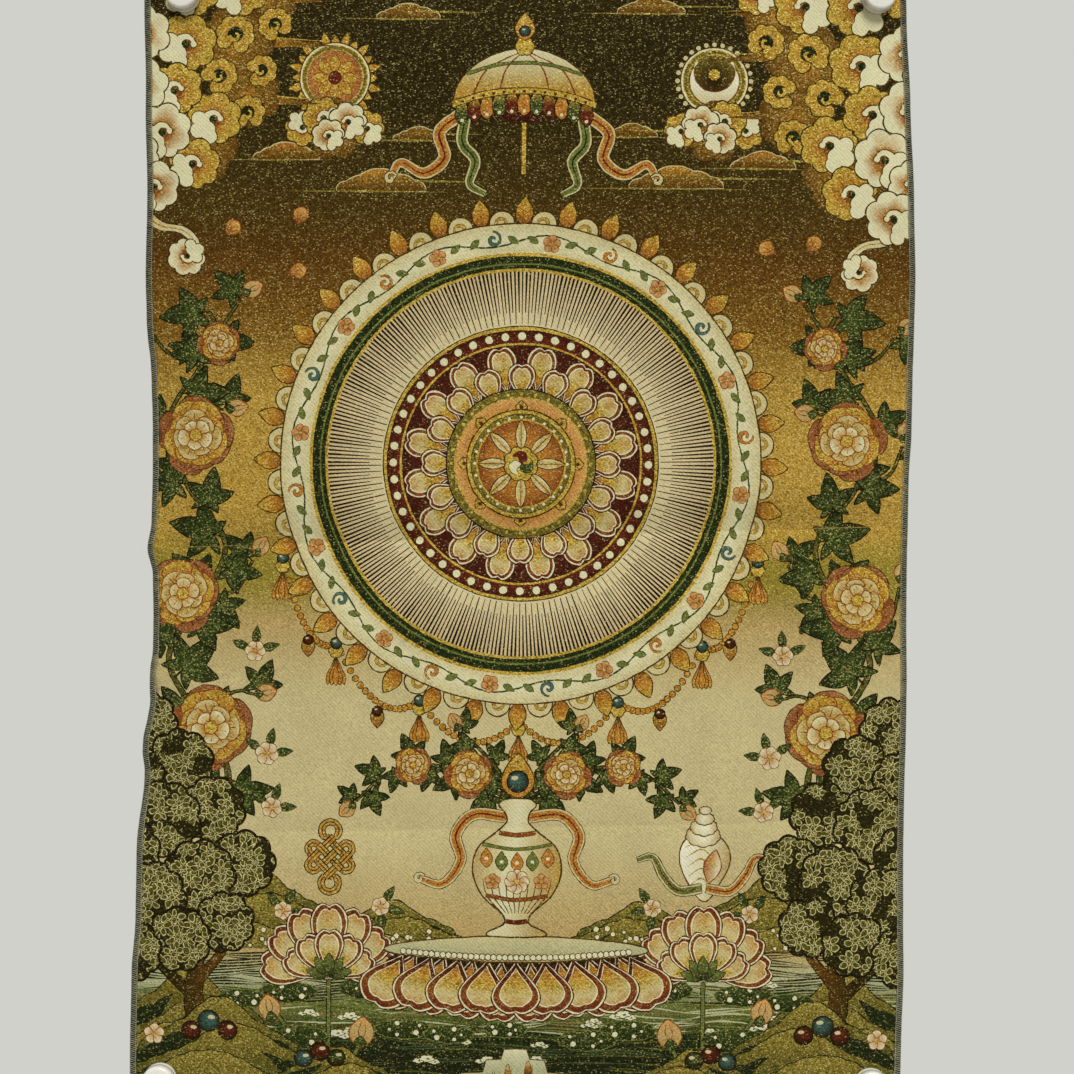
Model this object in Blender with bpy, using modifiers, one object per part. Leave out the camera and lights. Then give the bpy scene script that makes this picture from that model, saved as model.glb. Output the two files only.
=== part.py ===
"""A woven brocade thangka, held by four round button magnets.

The origin is the middle of the cloth's top edge on the plane of the board behind it: +X runs to the
right, +Z up, and the cloth faces -Y. The cloth is one sheet, and an overlocked edging folds round each
of its four raw edges. The side edges curl back to the board, the sheet stands a few millimetres
off it between the magnets, and the crease from folding the cloth in half runs across its middle.
"""

import math
from collections import namedtuple

import bmesh
import bpy
from mathutils import Vector

MM = 0.001

# The whole hanging
HANGING_HEIGHT = 900 * MM
HALF_WIDTH = 300 * MM
CLOTH_THICKNESS = 1.0 * MM

# The overlocked edging, a thin wall of thread folded round the cloth's raw edge
EDGING_WIDTH = 5.0 * MM
THREAD_WALL = 0.5 * MM
EDGING_ROUNDING = 0.7 * MM
SEAM_GAP = 0.3 * MM
RAW_EDGE = THREAD_WALL + SEAM_GAP
EDGE_LIFT = THREAD_WALL + SEAM_GAP

# The button magnets
MAGNET_RADIUS = 13.0 * MM
MAGNET_THICKNESS = 10.0 * MM
MAGNET_EDGE_RADIUS = 2.6 * MM
MAGNET_EDGE_STEPS = 4
MAGNET_CROWN = 0.5 * MM
MAGNET_FOOT_CHAMFER = 0.6 * MM
MAGNET_SEAT = 0.3 * MM
MAGNET_STEPS = 28

# How the cloth stands off the board: it bulges once past the curl along each edge, it is pinned flat
# round each magnet, and a narrow strip along each raw edge makes room for the edging's back
BULGE = 6.0 * MM
CURL_WIDTH = 30 * MM
END_CURL_WIDTH = 70 * MM
PINNED_RADIUS = 30 * MM
FREE_RADIUS = 120 * MM
LIFT_STARTS = 5.5 * MM
LIFT_ENDS = 8.5 * MM

# The fold across the middle: where it crosses the centre line, how it climbs, and its two slopes
FOLD_DOWN = 449.4 * MM
FOLD_CLIMB = 0.0387
FOLD_ABOVE = 30 * MM
FOLD_BELOW = 75 * MM
FOLD_DEPTH = 0.88

Station = namedtuple("Station", "down left right left_off right_off")
OUTLINE = [  # millimetres down, out to each side of the centre line, and each side's edge off the board
    Station(0, 299.0, 298.6, 0.0, 0.0),
    Station(31, 299.9, 299.9, 3.0, 1.0),
    Station(109, 297.4, 303.3, 2.6, 2.2),
    Station(188, 295.5, 306.4, 1.2, 3.6),
    Station(246, 295.4, 308.3, 4.2, 2.4),
    Station(285, 294.1, 307.9, 4.6, 1.2),
    Station(324, 291.2, 306.7, 0.8, 2.6),
    Station(363, 289.9, 306.1, 0.2, 3.4),
    Station(402, 289.5, 304.5, 0.0, 1.8),
    Station(441, 290.0, 304.7, 0.6, 0.6),
    Station(461, 292.6, 304.0, 3.2, 1.4),
    Station(481, 288.8, 303.6, 0.4, 2.6),
    Station(520, 287.9, 303.7, 0.2, 2.2),
    Station(545, 288.0, 304.6, 0.8, 0.8),
    Station(561, 290.2, 304.9, 2.6, 0.6),
    Station(580, 289.4, 304.5, 1.0, 1.6),
    Station(617, 294.7, 303.9, 4.4, 2.8),
    Station(637, 293.1, 303.4, 1.4, 2.0),
    Station(695, 298.4, 303.4, 3.8, 0.8),
    Station(754, 299.5, 303.6, 1.2, 1.8),
    Station(793, 302.2, 304.3, 2.6, 2.6),
    Station(851, 303.4, 303.4, 3.0, 1.0),
    Station(900, 303.0, 302.6, 0.0, 0.0),
]

Magnet = namedtuple("Magnet", "name x down")
MAGNETS = [  # millimetres
    Magnet("top_left", -268.3, 26.8),
    Magnet("top_right", 276.6, 22.6),
    Magnet("bottom_left", -278.4, 877.4),
    Magnet("bottom_right", 278.9, 876.2),
]

Ripple = namedtuple("Ripple", "x down to_x to_down half_width height")
RIPPLES = [  # millimetres: a soft ridge from one point to another, or a trough where height is negative
    Ripple(-300, 552, -170, 588, 11, 1.3),
    Ripple(-300, 622, -190, 600, 13, 1.8),
    Ripple(-305, 694, -210, 658, 15, 1.6),
    Ripple(310, 182, 200, 236, 18, 1.6),
    Ripple(308, 404, 220, 424, 12, 1.2),
    Ripple(305, 556, 215, 580, 13, 1.2),
    Ripple(-300, 230, 300, 222, 10, -1.1),
    Ripple(-300, 684, 300, 668, 10, -0.9),
    Ripple(-240, 60, -110, 190, 18, 1.8),
    Ripple(250, 56, 120, 176, 18, 1.8),
]

# The shares of a ripple's length that it runs on past each end, and over which it fades there
RIPPLE_OVERRUN = 0.1
RIPPLE_FADE = 0.35

Swell = namedtuple("Swell", "x down radius_x radius_down height")
SWELLS = [  # millimetres: broad places where the slack cloth stands further off the board
    Swell(-180, 330, 110, 95, 2.2),
    Swell(190, 250, 105, 120, 2.6),
    Swell(90, 620, 150, 100, 1.8),
    Swell(-130, 740, 120, 80, 2.0),
    Swell(10, 130, 160, 70, 1.6),
]

# The sheet's grid, in millimetres, and the share of the height over which its rows turn level
COLUMNS_FROM_SIDE = [0.8, 5.5, 8.5, 16, 28, 46, 74, 110, 150, 192, 232, 268]
ROWS_FROM_END = [0.8, 5.5, 8.5, 18, 32, 50]
ROWS_FROM_FOLD = [0, 5, 11, 18, 26, 36, 50, 68]
ROW_PITCH = 13.5
LEVELLING_SHARE = 0.4

SHARP_ANGLE = 40
MERGE_DISTANCE = 0.00005

Finish = namedtuple("Finish", "red green blue roughness metallic")
BROCADE = Finish(0.36, 0.27, 0.09, 0.62, 0.15)
EDGING_THREAD = Finish(0.10, 0.10, 0.075, 0.80, 0.0)
MAGNET_PLASTIC = Finish(0.78, 0.77, 0.73, 0.30, 0.0)


def ease(share):
    """0 to 1 with a soft start and end."""
    share = min(1.0, max(0.0, share))
    return share * share * (3 - 2 * share)


def outline_at(down):
    """The outline's station at a distance down, in metres, eased between those of the table."""
    at = min(max(down / MM, OUTLINE[0].down), OUTLINE[-1].down)
    for above, below in zip(OUTLINE, OUTLINE[1:]):
        if at <= below.down:
            break
    share = ease((at - above.down) / (below.down - above.down))
    return Station(*((a + (b - a) * share) * MM for a, b in zip(above, below)))


def fold_profile(x, down):
    """How much of the bulge is left near the middle fold: 1 away from it, little at its bottom."""
    above_fold = FOLD_DOWN - FOLD_CLIMB * x - down
    reach = FOLD_ABOVE if above_fold > 0 else FOLD_BELOW
    return 1 - FOLD_DEPTH * (1 - ease(abs(above_fold) / reach))


def freedom(x, down):
    """0 where a magnet pins the cloth flat, and 1 away from all of them."""
    share = 1.0
    for magnet in MAGNETS:
        away = math.hypot(x - magnet.x * MM, down - magnet.down * MM)
        share *= ease((away - PINNED_RADIUS) / (FREE_RADIUS - PINNED_RADIUS))
    return share


def ripple_height(x, down):
    total = 0.0
    for r in RIPPLES:
        start = Vector((r.x, r.down)) * MM
        along = Vector((r.to_x, r.to_down)) * MM - start
        share = (Vector((x, down)) - start).dot(along) / along.length_squared
        within = RIPPLE_OVERRUN + min(share, 1 - share)
        inside = ease(within / RIPPLE_FADE)
        nearest = start + along * min(1.0, max(0.0, share))
        away = (Vector((x, down)) - nearest).length / (r.half_width * MM)
        total += r.height * MM * inside * math.exp(-away * away)
    return total


def swell_height(x, down):
    total = 0.0
    for s in SWELLS:
        away = math.hypot((x / MM - s.x) / s.radius_x, (down / MM - s.down) / s.radius_down)
        total += s.height * MM * math.exp(-away * away)
    return total


def stand_off(x, down, from_side, from_end, edge_off):
    """How far the back of the cloth stands off the board, in metres."""
    side_curl = ease(from_side / CURL_WIDTH)
    end_curl = ease(from_end / END_CURL_WIDTH)
    slack = (BULGE + swell_height(x, down)) * fold_profile(x, down) + ripple_height(x, down)
    slack = max(slack * end_curl, 0.0)
    free = (edge_off * (1 - side_curl) + slack * side_curl) * freedom(x, down)
    near_edge = min(from_side, from_end)
    lift = EDGE_LIFT * (1 - ease((near_edge - LIFT_STARTS) / (LIFT_ENDS - LIFT_STARTS)))
    return free + lift


def row_downs():
    """Distances down of the sheet's rows, in metres, closer together at the ends and the fold."""
    fold, height = FOLD_DOWN / MM, HANGING_HEIGHT / MM
    rows = set(ROWS_FROM_END) | {height - d for d in ROWS_FROM_END}
    rows |= {fold - d for d in ROWS_FROM_FOLD} | {fold + d for d in ROWS_FROM_FOLD}
    gaps = [
        (ROWS_FROM_END[-1], fold - ROWS_FROM_FOLD[-1]),
        (fold + ROWS_FROM_FOLD[-1], height - ROWS_FROM_END[-1]),
    ]
    for start, end in gaps:
        count = math.ceil((end - start) / ROW_PITCH)
        rows |= {start + (end - start) * i / count for i in range(1, count)}
    return [d * MM for d in sorted(rows)]


def sheet_point(column, down):
    """The point of the cloth's back face in a column, on the row that starts this far down."""
    offsets = [d * MM for d in COLUMNS_FROM_SIDE]
    from_end = min(down, HANGING_HEIGHT - down)
    # Rows run along the slanting fold in the middle, and level at the two ends
    climb = FOLD_CLIMB * ease(from_end / (LEVELLING_SHARE * HANGING_HEIGHT))
    left = outline_at(down + climb * HALF_WIDTH)
    right = outline_at(down - climb * HALF_WIDTH)
    if column < len(offsets):
        from_side, edge_off = offsets[column], left.left_off
        x = from_side - left.left
    elif column > len(offsets):
        from_side, edge_off = offsets[2 * len(offsets) - column], right.right_off
        x = right.right - from_side
    else:
        from_side, edge_off = HALF_WIDTH, 0.0
        x = (right.right - left.left) / 2
    lower = down - climb * x
    return Vector((x, -stand_off(x, lower, from_side, from_end, edge_off), -lower))


def finish_material(name, finish):
    material = bpy.data.materials.new(name)
    material.use_nodes = True
    shader = material.node_tree.nodes["Principled BSDF"]
    shader.inputs["Base Color"].default_value = (finish.red, finish.green, finish.blue, 1)
    shader.inputs["Roughness"].default_value = finish.roughness
    shader.inputs["Metallic"].default_value = finish.metallic
    return material


def add_object(name, mesh, collection, material):
    made = bpy.data.objects.new(name, mesh)
    mesh.materials.append(material)
    collection.objects.link(made)
    return made


def make_cloth(collection, material, downs):
    """One sheet: a grid set out on the back face, thickened towards the front."""
    columns = 2 * len(COLUMNS_FROM_SIDE) + 1
    grid = bmesh.new()
    bmesh.ops.create_grid(grid, x_segments=columns - 1, y_segments=len(downs) - 1, size=1.0)
    for vertex in grid.verts:
        column = round((vertex.co.x + 1) / 2 * (columns - 1))
        row = round((1 - vertex.co.y) / 2 * (len(downs) - 1))
        vertex.co = sheet_point(column, downs[row])
    mesh = bpy.data.meshes.new("brocade_cloth")
    grid.to_mesh(mesh)
    grid.free()
    mesh.shade_smooth()
    cloth = add_object("brocade_cloth", mesh, collection, material)
    thicken = cloth.modifiers.new("thickness", "SOLIDIFY")
    thicken.thickness = CLOTH_THICKNESS
    thicken.offset = 1.0
    thicken.use_even_offset = True


def edging_section():
    """The folded thread wall in section: (inward from the outer edge, forward of the cloth's back)."""
    back = -SEAM_GAP - THREAD_WALL
    front = CLOTH_THICKNESS + SEAM_GAP + THREAD_WALL
    return [
        (EDGING_WIDTH, back),
        (EDGING_ROUNDING, back),
        (0.0, back + EDGING_ROUNDING),
        (0.0, front - EDGING_ROUNDING),
        (EDGING_ROUNDING, front),
        (EDGING_WIDTH, front),
        (EDGING_WIDTH, front - THREAD_WALL),
        (THREAD_WALL, front - THREAD_WALL),
        (THREAD_WALL, back + THREAD_WALL),
        (EDGING_WIDTH, back + THREAD_WALL),
    ]


def loft(name, rings, collection, material):
    """A closed solid through rings of equal length, with a flat cap at each end."""
    build = bmesh.new()
    made = [[build.verts.new(p) for p in ring] for ring in rings]
    count = len(rings[0])
    for one, two in zip(made, made[1:]):
        for i in range(count):
            j = (i + 1) % count
            build.faces.new((one[i], one[j], two[j], two[i]))
    build.faces.new(list(reversed(made[0])))
    build.faces.new(made[-1])
    bmesh.ops.recalc_face_normals(build, faces=build.faces)
    mesh = bpy.data.meshes.new(name)
    build.to_mesh(mesh)
    build.free()
    mesh.set_sharp_from_angle(angle=math.radians(SHARP_ANGLE))
    add_object(name, mesh, collection, material)


def edging_rings(pairs):
    """One section for each (raw edge point, next point in) pair of the cloth's back face."""
    forward_hint = Vector((0, -1, 0))
    rings = []
    for i, (edge, inner) in enumerate(pairs):
        before = pairs[max(0, i - 1)][0]
        after = pairs[min(len(pairs) - 1, i + 1)][0]
        run = (after - before).normalized()
        inward = inner - edge
        inward = (inward - run * inward.dot(run)).normalized()
        forward = run.cross(inward).normalized()
        if forward.dot(forward_hint) < 0:
            forward = -forward
        outer = edge - inward * RAW_EDGE
        rings.append([outer + inward * a + forward * b for a, b in edging_section()])
    return rings


def stretched(pairs):
    """The pairs with the first and last moved out to the corners of the hanging."""
    first = pairs[0][0] - pairs[1][0]
    last = pairs[-1][0] - pairs[-2][0]
    ends = (first.normalized() * RAW_EDGE, last.normalized() * RAW_EDGE)
    top = tuple(p + ends[0] for p in pairs[0])
    bottom = tuple(p + ends[1] for p in pairs[-1])
    return [top, *pairs, bottom]


def make_edgings(collection, material, downs):
    """Four edgings: the side ones run the full height, the top and bottom ones fit between them."""
    last = 2 * len(COLUMNS_FROM_SIDE)
    sides = {"edging_left": (0, 1), "edging_right": (last, last - 1)}
    for name, (outer, inner) in sides.items():
        pairs = [(sheet_point(outer, d), sheet_point(inner, d)) for d in downs]
        loft(name, edging_rings(stretched(pairs)), collection, material)
    ends = {"edging_top": (downs[0], downs[1]), "edging_bottom": (downs[-1], downs[-2])}
    for name, (outer, inner) in ends.items():
        pairs = [(sheet_point(c, outer), sheet_point(c, inner)) for c in range(1, last)]
        loft(name, edging_rings(pairs), collection, material)


def magnet_profile():
    """Half the outline of a button: down its crowned face, round the rim and in along its flat back."""
    inner = MAGNET_RADIUS - MAGNET_EDGE_RADIUS
    shoulder = MAGNET_THICKNESS - MAGNET_CROWN
    points = [(inner * s, MAGNET_THICKNESS - MAGNET_CROWN * s * s) for s in (0.0, 0.6)]
    for step in range(MAGNET_EDGE_STEPS + 1):
        turn = math.pi / 2 * (1 - step / MAGNET_EDGE_STEPS)
        out = inner + MAGNET_EDGE_RADIUS * math.cos(turn)
        up = shoulder - MAGNET_EDGE_RADIUS * (1 - math.sin(turn))
        points.append((out, up))
    points.append((MAGNET_RADIUS, MAGNET_FOOT_CHAMFER))
    points.append((MAGNET_RADIUS - MAGNET_FOOT_CHAMFER, 0.0))
    points.append((0.0, 0.0))
    return points


def make_magnet(magnet, collection, material):
    profile = bmesh.new()
    points = [profile.verts.new((r, 0, h)) for r, h in magnet_profile()]
    for one, two in zip(points, points[1:]):
        profile.edges.new((one, two))
    mesh = bpy.data.meshes.new(magnet.name)
    profile.to_mesh(mesh)
    profile.free()
    button = add_object("magnet_" + magnet.name, mesh, collection, material)
    turn = button.modifiers.new("turned", "SCREW")
    turn.axis = "Z"
    turn.steps = turn.render_steps = MAGNET_STEPS
    turn.use_merge_vertices = True
    turn.merge_threshold = MERGE_DISTANCE
    front = CLOTH_THICKNESS + MAGNET_SEAT
    button.rotation_euler = (math.radians(90), 0, 0)
    button.location = (magnet.x * MM, -front, -magnet.down * MM)


def main():
    for old in list(bpy.data.objects):
        bpy.data.objects.remove(old)
    collection = bpy.data.collections.new("brocade_thangka")
    bpy.context.scene.collection.children.link(collection)
    brocade = finish_material("brocade", BROCADE)
    thread = finish_material("edging_thread", EDGING_THREAD)
    plastic = finish_material("magnet_plastic", MAGNET_PLASTIC)
    downs = row_downs()
    make_cloth(collection, brocade, downs)
    make_edgings(collection, thread, downs)
    for magnet in MAGNETS:
        make_magnet(magnet, collection, plastic)


main()
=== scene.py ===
"""The looks of a woven brocade thangka with overlocked edges, held by four round button magnets.

The design is drawn in millimetres on the flat cloth, x to the right of its centre line and down from
its top edge, as closed shapes laid over one another. Their outlines are then cut into one triangle
mesh, coloured by the shape on top, and set on the folds of the cloth's solid.
"""

import math
from collections import namedtuple

import bpy
import numpy as np
from mathutils import Matrix, Vector
from mathutils.bvhtree import BVHTree
from mathutils.geometry import delaunay_2d_cdt


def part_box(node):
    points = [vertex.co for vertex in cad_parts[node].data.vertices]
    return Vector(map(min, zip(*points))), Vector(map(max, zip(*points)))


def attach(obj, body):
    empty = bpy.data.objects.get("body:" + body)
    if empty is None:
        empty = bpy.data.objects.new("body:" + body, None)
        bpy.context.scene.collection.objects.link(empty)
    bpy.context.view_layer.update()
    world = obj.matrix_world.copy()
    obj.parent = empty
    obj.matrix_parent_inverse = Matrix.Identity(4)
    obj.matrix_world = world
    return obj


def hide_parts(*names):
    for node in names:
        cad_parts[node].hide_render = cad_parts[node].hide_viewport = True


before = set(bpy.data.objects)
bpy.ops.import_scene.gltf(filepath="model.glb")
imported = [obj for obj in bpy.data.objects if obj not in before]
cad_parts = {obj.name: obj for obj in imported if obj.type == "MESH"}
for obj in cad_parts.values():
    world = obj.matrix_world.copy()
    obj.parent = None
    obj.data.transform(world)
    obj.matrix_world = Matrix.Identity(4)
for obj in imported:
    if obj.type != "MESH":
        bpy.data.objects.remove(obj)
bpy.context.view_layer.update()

MM = 0.001

# The cloth, in millimetres
CLOTH_HEIGHT = 900.0
RAW_EDGE = 0.8
THICKNESS = 1.0

# Its mesh, in millimetres: the pitch of its even points and how far they keep off the edge, the longest step
# of an outline, how near points join, how far a line may stray, and the width and margin of its flat map
FRONT_PITCH = 7.5
BACK_PITCH = 11.0
KEEP_OFF = 3.0
CURVE_STEP = 2.1
MERGE = 0.004
LINE_MERGE = 0.06
LINE_TOLERANCE = 0.13
MAP_WIDTH = 624.0
MAP_MARGIN = 5.0

# The uneven outlines of woven colours: their reach in millimetres, and their turn in radians a millimetre
THREAD_STEP = 0.19
THREAD_WAVE = 2.9

# The trees' rosettes, in millimetres: their pitch, how far out their rings lie and how many there are, and
# each ring's radius and how many times longer than wide it is
ROSETTE_PITCH = 13.6
ROSETTE_REACH = 5.8
ROSETTE_RINGS = 6
RING_RADIUS = 2.1
RING_LENGTH = 1.35

# The folds' grid, in millimetres
FOLD_GRID = 5.0
FOLD_GRID_X = np.arange(-320, 321, FOLD_GRID)
FOLD_GRID_DOWN = np.arange(-10, 911, FOLD_GRID)

# The overlock stitches, in millimetres
STITCH_PITCH = 1.5
STITCH_REACH = 4.5
STITCH_LEAN = 1.6
STITCH_SHADE = 0.8
THREAD_HALF_WIDTH = 0.26
THREAD_HALF_HEIGHT = 0.3

# The magnets' crown, rounded rim, moulding line and foot, in millimetres, the moulding line's height as a
# share of the magnet's, and how many flat sides make it round
CROWN = 0.5
CORNER = 2.6
GROOVE = 0.18
FOOT = 0.6
MOULDING_UP = 0.34
BUTTON_SIDES = 72

# The camera, in metres: it stands in front of the middle of the photographed square
VIEW_WIDTH = 0.8388
VIEW_X = 0.0131
VIEW_Z = -0.449
VIEW_DISTANCE = 0.95
CLOTH_STANDS_OFF = 0.007
VIEW_ROLL = -0.55

# The lights
AMBIENT = 0.55
KEY_STRENGTH = 2.7
KEY_DIRECTION = (-0.12, 1.0, -1.0)
KEY_SPREAD = 24.0
FILL_POWER = 3
FILL_PLACE = (1.3, -1.2, -0.2)
FILL_TARGET = (0, 0, -0.5)

# The floor, in metres
FLOOR_HALF = 1.2
FLOOR_DEPTH = 1.62


def shade(red, green, blue, glitter=0.1, rings=0.0):
    """A thread colour seen as these 8-bit values, in linear light, with its gold flecks and rings."""
    share = np.array((red, green, blue)) / 255
    light = np.where(share <= 0.04045, share / 12.92, ((share + 0.055) / 1.055) ** 2.4)
    return np.append(light, (glitter, rings))


def tone(red, green, blue):
    """A material's colour seen as these 8-bit values."""
    return (*shade(red, green, blue)[:3], 1.0)


NIGHT = shade(38, 29, 3, 0.2)
UMBER = shade(62, 42, 8, 0.14)
BROWN = shade(80, 50, 7, 0.24)
AMBER = shade(112, 77, 16, 0.42)
GOLD = shade(166, 131, 50, 0.5)
BRIGHT_GOLD = shade(170, 138, 42, 0.8)
HONEY = shade(166, 112, 28, 0.5)
OLIVE_GOLD = shade(130, 114, 38, 0.3)
SAND = shade(166, 142, 88, 0.12)
CREAM = shade(186, 173, 122, 0.14)
IVORY = shade(202, 196, 156, 0.08)
WHITE = shade(214, 210, 182, 0.0)
CLOUD_GOLD = shade(160, 124, 34, 0.8)
ORANGE = shade(164, 104, 36, 0.36)
RUST = shade(118, 62, 22, 0.2)
MAROON = shade(88, 30, 14, 0.14)
WINE = shade(56, 20, 10, 0.12)
PINK = shade(190, 142, 78, 0.2)
ROSE = shade(138, 84, 48, 0.3)
FOREST = shade(26, 36, 10, 0.2)
LEAF = shade(46, 60, 19, 0.42)
SAGE = shade(92, 100, 44, 0.2)
MOSS = shade(70, 70, 22, 0.3)
OLIVE = shade(98, 86, 26, 0.4)
CREST = shade(122, 106, 34, 0.6)
HALO = shade(188, 176, 126, 0.4)
STONE = shade(164, 164, 124, 0.1)
TEAL = shade(62, 94, 82, 0.05)
WATER = shade(110, 98, 52, 0.1)
DEEP = shade(25, 29, 10, 0.16)
RIPPLE = shade(56, 68, 36, 0.1)
FOAM = shade(186, 176, 132, 0.06)
INK = shade(28, 21, 4, 0.06)
# Near-black under the stitches: the thread bed's dark colour, with painted shade between the stitches
SHADED_SELVAGE = shade(20, 22, 14, 0.0)
THICKET = shade(34, 30, 6, 0.1, 1.0)

Band = namedtuple("Band", "down colour")
GROUND = [
    Band(0, NIGHT),
    Band(110, NIGHT),
    Band(180, shade(58, 43, 6, 0.22)),
    Band(235, BROWN),
    Band(290, AMBER),
    Band(345, GOLD),
    Band(440, GOLD),
    Band(468, OLIVE_GOLD),
    Band(490, OLIVE_GOLD),
    Band(520, SAND),
    Band(580, shade(184, 171, 123, 0.12)),
    Band(690, shade(183, 169, 121, 0.12)),
    Band(760, SAND),
    Band(785, MOSS),
    Band(900, FOREST),
]


# Paints: each takes points in the pen's own millimetres and gives each point its colour


def between(values, places, colours):
    """Each value's colour, mixed from those at the places on either side of it."""
    return np.stack([np.interp(values, places, channel) for channel in np.transpose(colours)], -1)


def blend(colours, share):
    """Colours spaced evenly along shares from 0 to 1."""
    return between(share, np.linspace(0, 1, len(colours)), colours)


def fade(start, end, *colours):
    """Colours in turn along a straight line from one point to another."""
    start, end = np.array(start, float), np.array(end, float)
    along = end - start
    return lambda points: blend(colours, (points - start) @ along / (along @ along))


def rise(length, *colours):
    """Colours in turn straight up from the pen's place."""
    return fade((0, 0), (0, -length), *colours)


def glow(inner, outer, *colours):
    """Colours in turn between two distances from the pen's place."""
    return lambda points: blend(colours, (np.linalg.norm(points, axis=1) - inner) / (outer - inner))


def ground_paint(points):
    """The ground's colour, which changes from the top of the cloth to its bottom."""
    return between(points[:, 1], *zip(*GROUND))


RAY_LIGHT = glow(104, 150, shade(194, 182, 138), shade(198, 180, 136), shade(186, 164, 120))

# Lines and outlines, as arrays of (x, down) points


def polar(radius, degrees):
    """The point at this distance and angle, clockwise from straight up."""
    turn = np.radians(degrees)
    return np.stack([radius * np.sin(turn), -radius * np.cos(turn)], -1)


def steps(length, least):
    return max(least, math.ceil(length / CURVE_STEP))


def arc(radius, start, end):
    count = steps(abs(math.radians(end - start)) * radius, 4)
    return polar(radius, np.linspace(start, end, count + 1))


def circle(radius):
    count = steps(2 * math.pi * radius, 6 if radius < 1.8 else 9)
    return polar(radius, np.arange(count) * 360 / count)


def scallops(radius, count, depth=0.14):
    """A round outline with outward bumps that meet in notches."""
    points = count * steps(2 * math.pi * radius / count, 4)
    turn = np.arange(points) * 360 / points
    bump = np.abs(np.sin(np.radians(turn) * count / 2))
    return polar(radius * (1 - depth + depth * bump), turn)


def curve(points, closed=False):
    """A smooth line through the points."""
    points = np.asarray(points, float)
    before, after = 2 * points[:1] - points[1:2], 2 * points[-1:] - points[-2:-1]
    if closed:
        before, after = points[-1:], points[:2]
    chain = np.concatenate([before, points, after])
    runs = []
    for a, b, c, e in zip(chain, chain[1:], chain[2:], chain[3:]):
        count = steps(np.linalg.norm(c - b), 2)
        t = np.arange(count)[:, None] / count
        bend = (2 * a - 5 * b + 4 * c - e) * t**2 + (3 * b - a - 3 * c + e) * t**3
        runs.append((2 * b + (c - a) * t + bend) / 2)
    if not closed:
        runs.append(points[-1:])
    return np.concatenate(runs)


def ribbon(path, *widths):
    """The outline of a band along a path, whose widths are spaced evenly along it."""
    path = np.asarray(path, float)
    run = np.gradient(path, axis=0)
    run /= np.maximum(np.linalg.norm(run, axis=1, keepdims=True), 1e-6)
    across = np.stack([-run[:, 1], run[:, 0]], 1)
    half = np.interp(np.linspace(0, 1, len(path)), np.linspace(0, 1, len(widths)), widths) / 2
    return np.concatenate([path + across * half[:, None], (path - across * half[:, None])[::-1]])


def curl(radius, turns=1.2, start=0.0):
    """A line that winds in from its outer end round the pen's place."""
    share = np.linspace(0, 1, steps(4 * radius * turns, 9))
    return polar(radius * (1 - 0.86 * share), start + 360 * turns * share)


def petal(length, width, shoulder=0.6, sharp=1.0, bend=0.0):
    """A petal that points up from the pen's place, widest at its shoulder, a share of its length."""
    count = steps(length, 6)
    share = (1 - np.cos(np.pi * np.arange(count + 1) / count)) / 2
    swell = np.sin(np.pi * share ** (math.log(0.5) / math.log(shoulder)))
    side = np.stack([width / 2 * np.abs(swell) ** sharp, -length * share], 1)
    loop = np.concatenate([side, (side * (-1, 1))[-2:0:-1]])
    loop[:, 0] += bend * loop[:, 1] ** 2 / length
    return loop


def grow(loop, by):
    """The outline moved outwards."""
    ahead = np.roll(loop, -1, 0) - np.roll(loop, 1, 0)
    out = np.stack([ahead[:, 1], -ahead[:, 0]], 1)
    out /= np.maximum(np.linalg.norm(out, axis=1, keepdims=True), 1e-6)
    after = np.roll(loop, -1, 0)
    area = np.sum(loop[:, 0] * after[:, 1] - after[:, 0] * loop[:, 1])
    return loop + out * by * np.sign(area)


def mirrored(side):
    """The points of one side after those of its mirror image, with the middle one kept once."""
    side = np.array(side)
    return np.concatenate([(side * (-1, 1))[:0:-1], side])


def inside(loop, points):
    """Whether each point lies within the outline, which may cross itself."""
    start, end = loop, np.roll(loop, -1, 0)
    run = end - start
    found = []
    for part in np.array_split(points, 1 + len(points) * len(loop) // 1000000):
        x, down = part[:, :1], part[:, 1:]
        side = run[:, 0] * (down - start[:, 1]) - (x - start[:, 0]) * run[:, 1]
        descends = (start[:, 1] <= down) & (end[:, 1] > down) & (side > 0)
        climbs = (start[:, 1] > down) & (end[:, 1] <= down) & (side < 0)
        found.append(descends.sum(1) != climbs.sum(1))
    return np.concatenate(found)


def woven_line(points):
    """The points moved by the small uneven steps that an outline takes from thread to thread."""
    x, down = points.T
    aside = np.sin(THREAD_WAVE * down + 1.5 * np.sin(1.2 * x))
    along = np.sin(THREAD_WAVE * x + 1.5 * np.sin(1.1 * down))
    return points + THREAD_STEP * np.stack([aside, along], 1)


class Shape:
    """A closed outline on the cloth and its paint."""

    def __init__(self, pen, loop, paint):
        self.loop = woven_line(pen.place(loop))
        self.pen = pen
        self.paint = paint
        self.low = self.loop.min(0)
        self.high = self.loop.max(0)

    def colours(self, points):
        if not callable(self.paint):
            return np.tile(self.paint, (len(points), 1))
        return self.paint((points - self.pen.move) @ np.linalg.inv(self.pen.matrix).T)


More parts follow.
